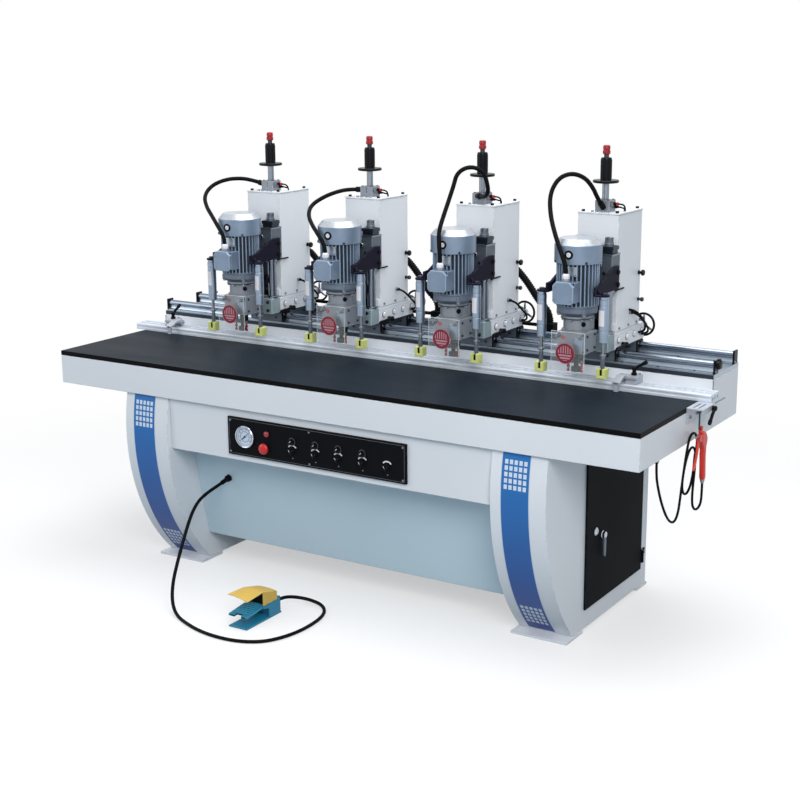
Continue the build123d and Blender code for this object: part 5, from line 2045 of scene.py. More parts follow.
@dataclass
class BoringHeads:
    """Four equal boring heads, each piece modelled once at x = 0 and copied to its place."""

    places: tuple[float, ...] = (-700.0, -215.0, 290.0, 795.0)
    ducted: tuple[int, ...] = (1, 2, 3)

    def spread(self, piece: Piece, name: str, body: str, node: str = "",
               heads: Sequence[int] = (1, 2, 3, 4), slot: Optional[Slot] = None) -> None:
        """Copy a piece to the heads and hand the copies over.

        Args:
            piece: The pattern at x = 0, which is thrown away.
            name: Name of the copies, followed by the head's number.
            body: Kind of body they ride on.
            node: Kind of solid they stand for, if any.
            heads: Numbers of the heads that have it.
            slot: The record's slot, where it is not that of the first finish.
        """
        for number in heads:
            copy = BENCH.copied(piece, (self.places[number - 1], 0, 0))
            stands_for = [f"{node}_{number}"] if node else []
            BENCH.deliver(copy, f"{name}_{number}", f"{body}_{number}", *stands_for, slot=slot)
        bpy.data.objects.remove(piece)


@dataclass
class Carriages(BoringHeads):
    """Saddles on the rails, with guide bars, housings, clamp arms and cylinders."""

    half: float = 80.0
    saddle_y: Pair = (624.0, 890.0)
    saddle_z: Pair = (966.0, 1028.0)
    front: float = 566.0
    rail_y: Pair = (663.0, 857.0)
    rail_z: float = 945.0
    bar_x: float = 60.0
    bar_y: float = 600.0
    housing_z: Pair = (1190.0, 1344.0)
    clamp: Pair = (120.0, 437.0)
    clamp_z: Pair = (1030.0, 1192.0)
    wheel: Pair = (65.0, 1010.0)
    bolts: tuple[Pair, ...] = ((657, 8), (731, 8), (797, 8), (864, 5))
    bolt_z: float = 997.0

    def build(self) -> None:
        """Make every piece of the carriages."""
        self.saddle()
        self.front_block()
        self.bearings()
        self.guides()
        self.housing()
        self.arms()
        self.cylinders()
        self.lock()
        self.wheel_box()
        self.duct_box()

    def saddle(self) -> None:
        """Make the white saddle with its side bolts."""
        (front, back), (low, high) = self.saddle_y, self.saddle_z
        plate = BENCH.block((-self.half, front, low), (self.half, back, high))
        groove = [
            BENCH.block((side * self.half - 1.2, front - 4, high - 13),
                (side * self.half + 1.2, back + 4, high - 11.6)) for side in (-1, 1)]
        BENCH.cut(plate, *groove)
        BENCH.dress(plate, WHITE, 2.4, 3)
        parts = [plate]
        for side in (-1, 1):
            washer = [(12.5, 0), (12.5, side * 1.2), (11, side * 1.8)]
            for y, reach in self.bolts:
                at = (side * self.half, y, self.bolt_z)
                parts.append(BENCH.hexed(at, X, 18, side * reach, WHITE))
                parts.append(BENCH.turned(washer, at, X, 22, STEEL))
        gasket = BENCH.block(
            (0.7 - self.half, 640, high - 1), (self.half - 0.7, 839, high + 2), DARK_STEEL, 0.3, 1)
        parts.append(gasket)
        self.spread(BENCH.join(*parts), "saddle", "head", "carriage")

    def front_block(self) -> None:
        """Make the steel block that carries the guide bars."""
        low, high = self.saddle_z
        body = BENCH.block((-self.half, self.front, low), (self.half, self.saddle_y[0], high))
        notch = BENCH.block((-34, self.front - 5, low - 4), (34, self.front + 12, low + 22))
        BENCH.cut(body, notch)
        BENCH.dress(body, CAST_TINT, 2.2)
        screws = BENCH.screws(
            [(x, self.front, z) for x in (-62, 62) for z in (low + 14, high - 14)], Y, 6.5, -6,
            DARK_STEEL)
        cap = BENCH.screws([(x, self.front + 29, high) for x in (-24, 24)], Z, 6.5, 1.4, DARK_STEEL)
        self.spread(BENCH.join(body, screws, cap), "front_block", "head")

    def bearings(self) -> None:
        """Make the open bearing blocks with dark end seals."""
        parts = []
        for y in self.rail_y:
            bore = arc((y, self.rail_z), 13.2, 222, -42, 18)
            shape = [
                (y - 29, 923), (y - 10, 923), (y - 9.5, 936), *bore, (y + 9.5, 936), (y + 10, 923),
                (y + 29, 923), (y + 29, 958), (y + 21, 966), (y - 21, 966), (y - 29, 958)]
            parts.append(BENCH.prism(shape, -self.half + 4, self.half - 4, X, CAST, 0.9))
            seal = [(a + (2 if a < y else -2) * (abs(a - y) > 15), b) for a, b in shape]
            for side in (-1, 1):
                cap = BENCH.prism(
                    seal, side * (self.half - 4), side * (self.half + 2), X, PLASTIC, 0.6, 1)
                parts.append(cap)
                spots = [(side * (self.half + 2), y + a, 954) for a in (-20, 20)]
                parts.append(BENCH.screws(spots, X, 3.2, side * 2, STEEL))
            flanks = [(x, y - 29, 940) for x in (-50, 50)]
            parts.append(BENCH.screws(flanks, Y, 4.4, -4, DARK_STEEL))
        self.spread(BENCH.join(*parts), "bearing_blocks", "head")

    def guides(self) -> None:
        """Make the pair of upright guide bars with collars."""
        low, high = self.saddle_z[1], self.housing_z[0]
        bar = BENCH.turned(
            [(24, low), (24, low + 8), (21, low + 10), (17, low + 10), (17, high - 12),
                (22, high - 12), (22, high)], (-self.bar_x, self.bar_y, 0), Z, 32, RAIL)
        self.spread(BENCH.row(bar, [(2 * self.bar_x, 0, 0)]), "guide_bars", "head")

    def housing(self) -> None:
        """Make the guide housing with its cover plate, adjusters and bolts."""
        low, high = self.housing_z
        lid = high - 31
        body = BENCH.block((-88, self.front, low), (88, 634, lid))
        gap = [
            BENCH.block((-2, self.front - 5, low - 5), (2, self.front + 26, high + 5)),
            BENCH.block((-28, self.front - 5, low + 36), (28, self.front + 16, lid - 14))]
        BENCH.cut(body, *gap)
        BENCH.dress(body, CAST, 3, 3)
        plate = BENCH.block((-90, self.front - 3, lid), (90, 634, lid + 6), STEEL, 1.2)
        parts = [body, plate]
        for x in (-self.bar_x, self.bar_x):
            stack = BENCH.block(
                (x - 24, self.bar_y - 22, lid + 6), (x + 24, self.bar_y + 22, high - 12), None, 1.6)
            rim = BENCH.block(
                (x - 28, self.bar_y - 25, high - 12), (x + 28, self.bar_y + 25, high + 2))
            BENCH.inset(rim, lambda at, way: way.z > 0.9, 6, 3)
            parts.append(BENCH.paint(BENCH.join(stack, BENCH.dress(rim, None, 2)), DARK_STEEL))
            nut = BENCH.turned(
                [(17, 0), (17, 12), (15, 13.5), (15, 33), (9, 33), (8.5, 18)],
                (x, self.bar_y, high - 2), Z, 24)
            slots = [
                BENCH.block((x - a, self.bar_y - b, high + 18), (x + a, self.bar_y + b, high + 50))
                for a, b in ((3.4, 30), (30, 3.4))]
            BENCH.cut(nut, *slots)
            parts.append(BENCH.dress(nut, CAST, 0.6, 1))
            parts.append(BENCH.hexed((x * 0.72, self.front, lid - 32), Y, 17, -9, CHROME))
            spots = [(x, self.front, low + a) for a in (18, 62)]
            parts.append(BENCH.screws(spots, Y, 6, -6, DARK_STEEL))
        parts.append(BENCH.block((84, 606, low - 6), (90, 676, low - 1), PLASTIC, 1))
        self.spread(BENCH.join(*parts), "guide_housing", "head")

    def arms(self) -> None:
        """Make the dark clamp arms with their caps and bolts."""
        x, y = self.clamp
        low = self.clamp_z[1]
        outline = [
            (612, low), (612, low + 84), (562, low + 84), (y + 13, low + 36), (y - 20, low + 34),
            (y - 20, low)]
        plate = BENCH.prism(outline, 88, 97, X, None, 1.4)
        rim = arc((x, y), 19, -90, 90, 12) + [(96, y + 19), (96, y - 19)]
        cap = BENCH.prism(rim, low, low + 7, Z, None, 1.4)
        web = BENCH.prism(
            [(96, low + 6), (96, low + 26), (112, low + 6)], y - 6, y + 6, Y, None, 0.8)
        BENCH.paint(BENCH.join(plate, cap, web), ARM)
        bolts = [BENCH.hexed((97, 600, low + a), X, 15, 6, PLASTIC) for a in (18, 62)]
        nut = BENCH.hexed((x, y, low + 7), Z, 17, 7, DARK_STEEL)
        arm = BENCH.join(plate, *bolts, nut)
        self.spread(BENCH.join(arm, BENCH.mirrored(arm, 0)), "clamp_arms", "head")

    def cylinders(self) -> None:
        """Make the clamp cylinders with grooves and a plain pale label."""
        x, y = self.clamp
        low, high = self.clamp_z
        body = BENCH.turned(
            [(7.2, low + 14), (9, low), (15, low), (16.5, low + 1.5), (16.5, low + 16),
                (17, low + 16.5), (17, low + 40), (16.2, low + 41), (16.2, low + 44),
                (17, low + 45), (17, high - 34), (16.2, high - 33), (16.2, high - 30),
                (17, high - 29), (17, high - 10), (15.5, high - 9), (15.5, high)], (x, y, 0), Z, 32,
            UPRIGHT)
        wrap = arc((x, y), 17.3, 208, 300, 10) + arc((x, y), 16.6, 300, 208, 10)
        label = BENCH.prism(wrap, low + 60, low + 116, Z, LABEL, 0.1, 1)
        port = BENCH.turned(
            [(6, 14), (6, 21), (4.6, 22), (4.6, 27), (3, 28)], (x, y, low + 26), Y, 16, PLASTIC)
        one = BENCH.join(body, label, port)
        self.spread(BENCH.row(one, [(-2 * x, 0, 0)]), "clamp_cylinders", "head")

    def lock(self) -> None:
        """Make the saddle's lock lever."""
        at = (self.half, 690, 976)
        boss = BENCH.turned(
            [(8, 0), (9, 1), (9, 12), (8, 14), (10, 15), (10, 22), (8, 24), (3, 24.5)], at, X, 22,
            None)
        arm = BENCH.prism(
            [(690, 969), (690, 984), (650, 981), (606, 980), (599, 975), (600, 970), (650, 971)],
            self.half + 14, self.half + 22, X, None, 2)
        BENCH.paint(BENCH.join(boss, arm), PLASTIC)
        self.spread(boss, "saddle_lock", "head")

    def wheel_box(self) -> None:
        """Make the flanged boss that carries the handwheel's shaft."""
        x, z = self.wheel
        boss = BENCH.turned(
            [(28, 0), (28, 5), (26, 7), (19, 8), (18, 15), (16, 18), (8, 18), (7.4, 12)],
            (x - 8, 890, z), Y, 32, CAST)
        spots = [(a, 897, b) for a, b in arc((x - 8, z), 23, 45, 315, 3)]
        screws = BENCH.screws(spots, Y, 3.4, 3, DARK_STEEL)
        self.spread(BENCH.join(boss, screws), "wheel_box", "head")

    def duct_box(self) -> None:
        """Make the box beside a saddle that takes in the duct."""
        box = BENCH.block((166, 872, 934), (216, 914, 984))
        BENCH.inset(box, lambda at, way: way.x > 0.9 or way.y > 0.9, 5, 1.2)
        arm = BENCH.block((self.half, 872, 968), (168, 884, 980), None, 1)
        BENCH.paint(BENCH.join(BENCH.dress(box, None, 1.6), arm), BLACK)
        self.spread(box, "duct_box", "head", heads=self.ducted)


@dataclass
class Columns(BoringHeads):
    """White columns with their lids, stop blocks, knobs, air tubes and ducts."""

    half: float = 80.0
    y: Pair = (634.0, 840.0)
    z: Pair = (1028.0, 1450.0)
    lid: float = 1456.0
    stop_y: float = 690.0
    slot_half: float = 40.5
    slot_top: float = 1184.0
    bore: float = 13.4
    knob_y: float = 822.0
    knob_levels: Pair = (1222.0, 1123.0)
    ports: tuple[Pair, Pair] = ((750.0, 1085.0), (852.0, 990.0))
    tube_radius: float = 4.0
    duct_radius: float = 13.0
    duct_pitch: float = 7.0

    def build(self) -> None:
        """Make every piece of the columns."""
        self.shell()
        self.stop_block()
        self.knobs()
        self.pipes()
        self.ducts()

    def shell(self) -> None:
        """Make the open-fronted shell, its lid and screws."""
        (front, back), (low, high) = self.y, self.z
        shell = BENCH.block((-self.half, front, low), (self.half, back, high))
        room = BENCH.block((6 - self.half, front + 6, low - 9), (self.half - 6, back - 6, high - 6))
        mouth = BENCH.block(
            (-self.slot_half, front - 9, low - 9), (self.slot_half, front + 12, self.slot_top))
        bore = BENCH.turned([(self.bore, 0), (self.bore, 60)], (0, self.stop_y, high - 30), Z, 32)
        BENCH.cut(shell, room, mouth, bore)
        BENCH.dress(shell, WHITE, 2.6, 3)
        lid = BENCH.block((-self.half - 2, front - 2, high), (self.half + 2, back + 2, self.lid))
        hole = BENCH.turned([(self.bore, 0), (self.bore, 40)], (0, self.stop_y, high - 10), Z, 32)
        BENCH.cut(lid, hole)
        BENCH.dress(lid, WHITE, 1.6)
        corners = [(x, y, self.lid) for x in (-66, 66) for y in (front + 14, back - 14)]
        screws = BENCH.screws(corners, Z, 6.4, 7, SATIN)
        foot = BENCH.block(
            (self.half - 22, front - 15, low + 5), (self.half - 1, front + 2, low + 33), WHITE, 2)
        flanks = [
            BENCH.screws([(side * self.half, y, low + 12) for y in (660, 740, 815)], X, 5, side * 3,
                STEEL) for side in (1, -1)]
        column = BENCH.join(shell, lid, screws, foot, *flanks)
        self.spread(column, "column_shell", "head", "column")
        inner = BENCH.turned(
            [(32, 1245), (32, 1250), (30, 1252), (30, 1392), (32, 1394), (32, 1400)],
            (0, self.stop_y, 0), Z, 28)
        BENCH.cut(inner, BENCH.turned([(13, 1200), (13, 1450)], (0, self.stop_y, 0), Z, 28))
        plate = BENCH.block((-74, front + 6, 1400), (74, back - 6, 1412))
        hole = BENCH.turned([(self.bore, 1380), (self.bore, 1450)], (0, self.stop_y, 0), Z, 28)
        BENCH.cut(plate, hole)
        BENCH.paint(BENCH.join(BENCH.dress(inner), BENCH.dress(plate, None, 1)), DARK_STEEL)
        self.spread(inner, "feed_cylinder", "head")

    def stop_block(self) -> None:
        """Make the block on the lid with its small fittings."""
        y, z = self.stop_y, self.lid
        block = BENCH.block((-28, y - 28, z), (28, y + 28, z + 40))
        hole = BENCH.turned([(13.2, 0), (13.2, 80)], (0, y, z - 10), Z, 32)
        slit = BENCH.block((-1.5, y - 40, z + 12), (1.5, y - 10, z + 60))
        BENCH.cut(block, hole, slit)
        BENCH.dress(block, CAST_PALE, 2.4)
        collar = BENCH.turned(
            [(17, 40), (17, 41.2), (15, 42.2), (13.2, 42.2), (13.2, 39)], (0, y, z), Z, 28, STEEL)
        parts = [block, collar, BENCH.hexed((28, y - 14, z + 26), X, 13, 8, STEEL)]
        corners = [(x, y + a, z + 40) for x in (-21, 21) for a in (-21, 21)]
        parts.append(BENCH.screws(corners, Z, 4.4, 2.6, DARK_STEEL))
        for across, up, reach in ((10, 26, 66), (20, 14, 58)):
            port = BENCH.turned(
                [(6, 0), (6, 8), (4.6, 9), (4.6, 16), (3.6, 17)], (28, y + across, z + up), X, 18)
            tube = BENCH.pipe(
                [(42, y + across, z + up), (reach - 8, y + across, z + up),
                    (reach, y + across + 6, z + up - 4), (reach, y + across + 18, z + 10),
                    (reach, y + across + 20, z - 1)], 3)
            parts.append(BENCH.dress(BENCH.join(port, tube), PLASTIC))
        tag = BENCH.turned([(5.4, 0), (6, 0.6), (6, 6), (5, 7)], (40, y + 10, z + 26), X, 16, RED)
        parts.append(tag)
        small = BENCH.screws([(a, y - 44, z) for a in (-30, -12, 12, 30)], Z, 5, 5, STEEL)
        self.spread(BENCH.join(*parts, small), "stop_block", "head", slot=Slot.STEEL)

    def knobs(self) -> None:
        """Make the two side knobs."""
        high, low = self.knob_levels
        upper = BENCH.turned(
            [(8, 0), (8, 3), (5, 4), (5, 10), (9, 12), (11.4, 15), (11.4, 19), (9.5, 22.5),
                (4, 24)], (self.half, self.knob_y, high), X, 24, SATIN)
        lower = BENCH.turned(
            [(7, 0), (7, 3), (4.6, 4), (4.6, 12), (8, 13), (8, 20), (6.5, 22), (2, 22.4)],
            (self.half, self.knob_y, low), X, 24, DARK_STEEL)
        self.spread(BENCH.join(upper, lower), "side_knobs", "head")

    def pipes(self) -> None:
        """Bend the thin air tube on the column's side."""
        x = self.half
        route = [
            (x, 750, 1085), (x + 30, 750, 1085), (x + 44, 792, 1043), (x + 42, 834, 1014),
            (x + 28, 852, 990), (x, 852, 990)]
        tube = BENCH.pipe(route, self.tube_radius, RUBBER)
        ports = []
        for y, z in self.ports:
            ports.append(BENCH.hexed((x, y, z), X, 13, 8, STEEL))
            ports.append(BENCH.turned([(6, 8), (6, 14), (4.6, 16)], (x, y, z), X, 16, PLASTIC))
        self.spread(BENCH.join(tube, *ports), "side_air_tube", "head")
        second = [
            (x, 744, 1096), (x + 22, 746, 1096), (x + 40, 782, 1062), (x + 34, 824, 1030),
            (x + 24, 838, 1000), (x, 838, 996)]
        tube = BENCH.pipe(second, self.tube_radius, RUBBER)
        self.spread(tube, "second_air_tube", "head", heads=(len(self.places),))

    def ducts(self) -> None:
        """Make the ribbed duct from the column's back to its box."""
        route = [
            (30, 840, 1200), (30, 886, 1200), (86, 897, 1138), (144, 893, 1062), (191, 893, 1022),
            (191, 893, 984)]
        core = BENCH.pipe(route, self.duct_radius, None)
        places = BENCH.trace([shop(*p) for p in route])
        rings, walked = [core], 0.0
        for before, after in zip(places, places[1:]):
            walked += (after - before).length
            if walked < self.duct_pitch * MM:
                continue
            walked = 0.0
            bpy.ops.mesh.primitive_torus_add(
                major_radius=self.duct_radius * MM, minor_radius=2.2 * MM, major_segments=20,
                minor_segments=6)
            turn = (after - before).to_track_quat("Z", "Y").to_matrix().to_4x4()
            rings.append(BENCH.settle(bpy.context.object, Matrix.Translation(after) @ turn))
        flange = BENCH.turned(
            [(21, 0), (21, 3), (18, 5), (18, 12), (16, 13)], (30, 840, 1200), Y, 28, None)
        duct = BENCH.join(*rings, flange)
        BENCH.only(duct)
        bpy.ops.object.shade_smooth_by_angle(angle=math.radians(50))
        self.spread(BENCH.paint(duct, PLASTIC), "ribbed_duct", "head", heads=self.ducted)


@dataclass
class Drills(BoringHeads):
    """Moving heads: neck, spindle box, ram, depth stop, bits and guard."""

    half: float = 55.0
    spindle_y: float = 475.0
    box_z: Pair = (981.0, 1057.0)
    seat: float = 1113.0
    ram_top: float = 1180.0
    stop_y: float = 690.0
    disc: float = 1558.0
    bit: Pair = (26.0, 465.5)
    tip: float = 908.0
    box_y: Pair = (428.0, 522.0)
    box_recess: float = 1.5
    guard_y: float = 405.0
    guard_x: Pair = (-66.0, 64.0)
    guard_z: Pair = (920.0, 1062.0)
    post: Pair = (44.0, 1042.0)
    sign: Pair = (-10.0, 984.0)

    def build(self) -> None:
        """Make every piece that moves with a drill."""
        self.body()
        self.depth_stop()
        self.side_bits()
        self.guard()
        self.centre_bit()

    def body(self) -> None:
        """Make the neck, the spindle box and the ram."""
        low, high = self.box_z
        at = (0, self.spindle_y, 0)
        neck = BENCH.turned(
            [(54, high), (54, high + 6), (48, high + 8), (48, self.seat - 12), (52, self.seat - 10),
                (56, self.seat - 8), (56, self.seat)], at, Z, 48, None)
        back = BENCH.block((-42, self.spindle_y, high), (42, 532, self.seat - 8), None, 2.4)
        BENCH.paint(BENCH.join(neck, back), CAST_PALE)
        band = BENCH.turned(
            [(55, self.seat - 11), (57.4, self.seat - 10.4), (57.4, self.seat - 7)], at, Z, 48,
            DARK_STEEL)
        # A black recess on the neck, painted as the shade inside its hole.
        hole = BENCH.turned(
            [(8.8, 46), (8.8, 49.4), (8, 49.8), (7.4, 48.6), (1, 48.4)], (0, self.spindle_y, 1085),
            X, 24, PLASTIC)
        BENCH.turn(hole, -36, (0, self.spindle_y, 1085), Z)
        nuts = BENCH.hexed((51, self.spindle_y, self.seat - 17), Z, 11, 7, STEEL)
        BENCH.ring(nuts, 8, at, Z)
        front, back = self.box_y
        face = front + self.box_recess
        box = BENCH.block((-self.half, front, low), (self.half, back, high))
        BENCH.inset(box, lambda at, way: way.y < -0.9, 7, self.box_recess)
        BENCH.dress(box, CAST_PALE, 2.4)
        parts = [neck, band, hole, nuts, box]
        tongue = BENCH.block((-35, 530, 1086.5), (35, 642, 1112), None, 2)
        ram = BENCH.block((-38, 641, 1086.5), (38, 716, self.ram_top), None, 2)
        parts.append(BENCH.paint(BENCH.join(tongue, ram), DARK_STEEL))
        corners = [(x, face, z) for x in (-46, 46) for z in (low + 9, high - 9)]
        parts.append(BENCH.screws(corners, Y, 4.2, -3, DARK_STEEL))
        parts.append(BENCH.screws([(12, face, high - 26)], Y, 5.5, -4, STEEL))
        for side in (-1, 1):
            spots = [(side * self.half, y, z) for y in (446, 506) for z in (low + 14, high - 14)]
            parts.append(BENCH.screws(spots, X, 4.6, side * 3.4, DARK_STEEL))
        for x in (-self.bit[0], 0, self.bit[0]):
            y = self.spindle_y if x == 0 else self.bit[1]
            wide = 16 if x == 0 else 12
            nose = BENCH.turned(
                [(wide, 0), (wide, -3), (wide - 2, -5)], (x, y, low), Z, 24, PLASTIC)
            parts.append(nose)
        plate = BENCH.block((12, front - 2, low + 4), (47, front + 3, low + 58), UPRIGHT, 1.2)
        parts.append(plate)
        self.spread(BENCH.join(*parts), "drill_body", "drill", "drill_head", slot=Slot.STEEL)

    def depth_stop(self) -> None:
        """Make the threaded rod, disc, knurled sleeve and red cap."""
        at = (0, self.stop_y, 0)
        d = self.disc
        rod = BENCH.turned(
            [(12.5, self.ram_top - 2), (12.5, 1476), (12.5, d - 2), (11.5, d)], at, Z, 28, STEEL)
        disc = BENCH.turned(
            [(30, d - 3), (45, d - 1), (47, d + 1), (47, d + 7), (45, d + 9), (24, d + 9),
                (20, d + 11), (20, d + 82), (18, d + 88)], at, Z, 40, None)
        rib = BENCH.block(
            (-1.2, self.stop_y - 20.6, d + 14), (1.2, self.stop_y - 18, d + 80), None, 0.5, 1)
        BENCH.ring(rib, 28, at, Z)
        BENCH.paint(BENCH.join(disc, rib), SATIN)
        neck = BENCH.turned(
            [(9, d + 86), (9, d + 98), (10.5, d + 99), (10.5, d + 102)], at, Z, 24, DARK_STEEL)
        cap = BENCH.turned(
            [(12, d + 100), (13.5, d + 101.5), (13.5, d + 112), (12.2, d + 113), (12.2, d + 117),
                (13, d + 118), (13, d + 127), (11, d + 131), (4, d + 132)], at, Z, 28, None)
        flute = BENCH.block(
            (-1.3, self.stop_y - 13.9, d + 102), (1.3, self.stop_y - 12.4, d + 112), None, 0.4, 1)
        BENCH.ring(flute, 14, at, Z)
        BENCH.paint(BENCH.join(cap, flute), CAP_RED)
        self.spread(BENCH.join(rod, disc, neck, cap), "depth_stop", "drill", slot=Slot.CHROME)

    def side_bits(self) -> None:
        """Make the side chucks and their twisted bits."""
        x, y = self.bit
        low = self.box_z[0]
        chuck = BENCH.turned(
            [(9, 0), (9, -6), (8, -7), (8, -20), (9, -21), (9, -27), (6, -30)], (x, y, low), Z, 24,
            SATIN)
        grub = BENCH.screw((x, y - 8.4, low - 13), Y, 2.6, -1.6, STEEL)
        shank = BENCH.turned([(5, -40), (5, -28)], (x, y, low), Z, 20, STEEL, 0.4)
        bpy.ops.mesh.primitive_grid_add(x_subdivisions=2, y_subdivisions=24, size=1.0)
        blade = bpy.context.object
        for corner in blade.data.vertices:
            corner.co = (corner.co.x * 10 * MM, 0.0, corner.co.y * 33 * MM)
        wall = blade.modifiers.new("wall", "SOLIDIFY")
        wall.thickness = 4 * MM
        wall.offset = 0.0
        twist = blade.modifiers.new("twist", "SIMPLE_DEFORM")
        twist.deform_method = "TWIST"
        twist.deform_axis = "Z"
        twist.angle = math.radians(400)
        BENCH.only(blade)
        for step in (wall, twist):
            bpy.ops.object.modifier_apply(modifier=step.name)
        BENCH.settle(blade, Matrix.Translation(shop(x, y, self.tip + 16.5)))
        BENCH.dress(blade, BIT_RED, 0, 2, 50)
        bit = BENCH.join(chuck, grub, shank, blade)
        self.spread(BENCH.row(bit, [(-2 * x, 0, 0)]), "side_bits", "drill", slot=Slot.STEEL)

    def guard(self) -> None:
        """Make the clear guard with its posts and a plain round sign."""
        y, (left, right), (low, high) = self.guard_y, self.guard_x, self.guard_z
        sheet = BENCH.block((left, y, low), (right, y + 3, high))
        BENCH.inset(sheet, lambda at, way: way.y < -0.9, 2.4, 0)
        BENCH.dress(sheet, CLEAR, 0.5, 1)
        edge = 3
        BENCH.paint_faces(sheet, CLEAR_RIM, lambda at, way: not (
            left + edge <= at.x <= right - edge and low + edge < at.z < high - edge))
        self.spread(sheet, "clear_guard", "drill")
        x, z = self.post
        spots = [(-x, y, z), (x, y, z)]
        sleeve = [(6, 3), (6.2, 4), (6.2, 22), (6, 23.4)]
        posts = [BENCH.turned(sleeve, spot, Y, 18, STEEL) for spot in spots]
        screws = BENCH.screws(spots, Y, 5, -3.4, STEEL)
        self.spread(BENCH.join(*posts, screws), "guard_posts", "drill")
        shift, level = self.sign
        for number, place in enumerate(self.places, 1):
            middle = shop(place + shift, 0, level)
            bars = RoundSign(
                f"round_sign_{number}", Slot.RED, (122, 24, 44), 0.45, x=middle.x, z=middle.z)
            sign = BENCH.turned(
                [(37, 0), (37.5, -0.5), (37, -1)], (place + shift, y, level), Y, 40, bars)
            BENCH.deliver(sign, f"guard_sign_{number}", f"drill_{number}")
        spot = (-30, self.box_y[0] + self.box_recess, 1036)
        dot = BENCH.turned([(7, 0), (7, -1.2), (5, -2)], spot, Y, 20, RED)
        self.spread(dot, "red_dot", "drill")

    def centre_bit(self) -> None:
        """Make the centre spindle with its cup bit."""
        y, low, tip = self.spindle_y, self.box_z[0], self.tip
        shaft = BENCH.turned(
            [(8, low + 55), (8, low - 1), (12, low - 1), (12, low - 10), (10.6, low - 11),
                (10.6, low - 24), (12, low - 25), (12, low - 30), (8, low - 32), (8, tip + 18)],
            (0, y, 0), Z, 28, SATIN)
        cup = BENCH.turned(
            [(8, tip + 18.5), (15, tip + 18), (17.5, tip + 15), (17.5, tip), (15.5, tip),
                (15, tip + 5), (3, tip + 5), (1, tip)], (0, y, 0), Z, 32)
        BENCH.cut(cup, BENCH.block((-30, y - 3, tip - 3), (30, y + 3, tip + 9)))
        BENCH.dress(cup, DARK_STEEL, 0.3, 1)
        self.spread(BENCH.join(shaft, cup), "cup_bit", "bit", "spindle", slot=Slot.STEEL)


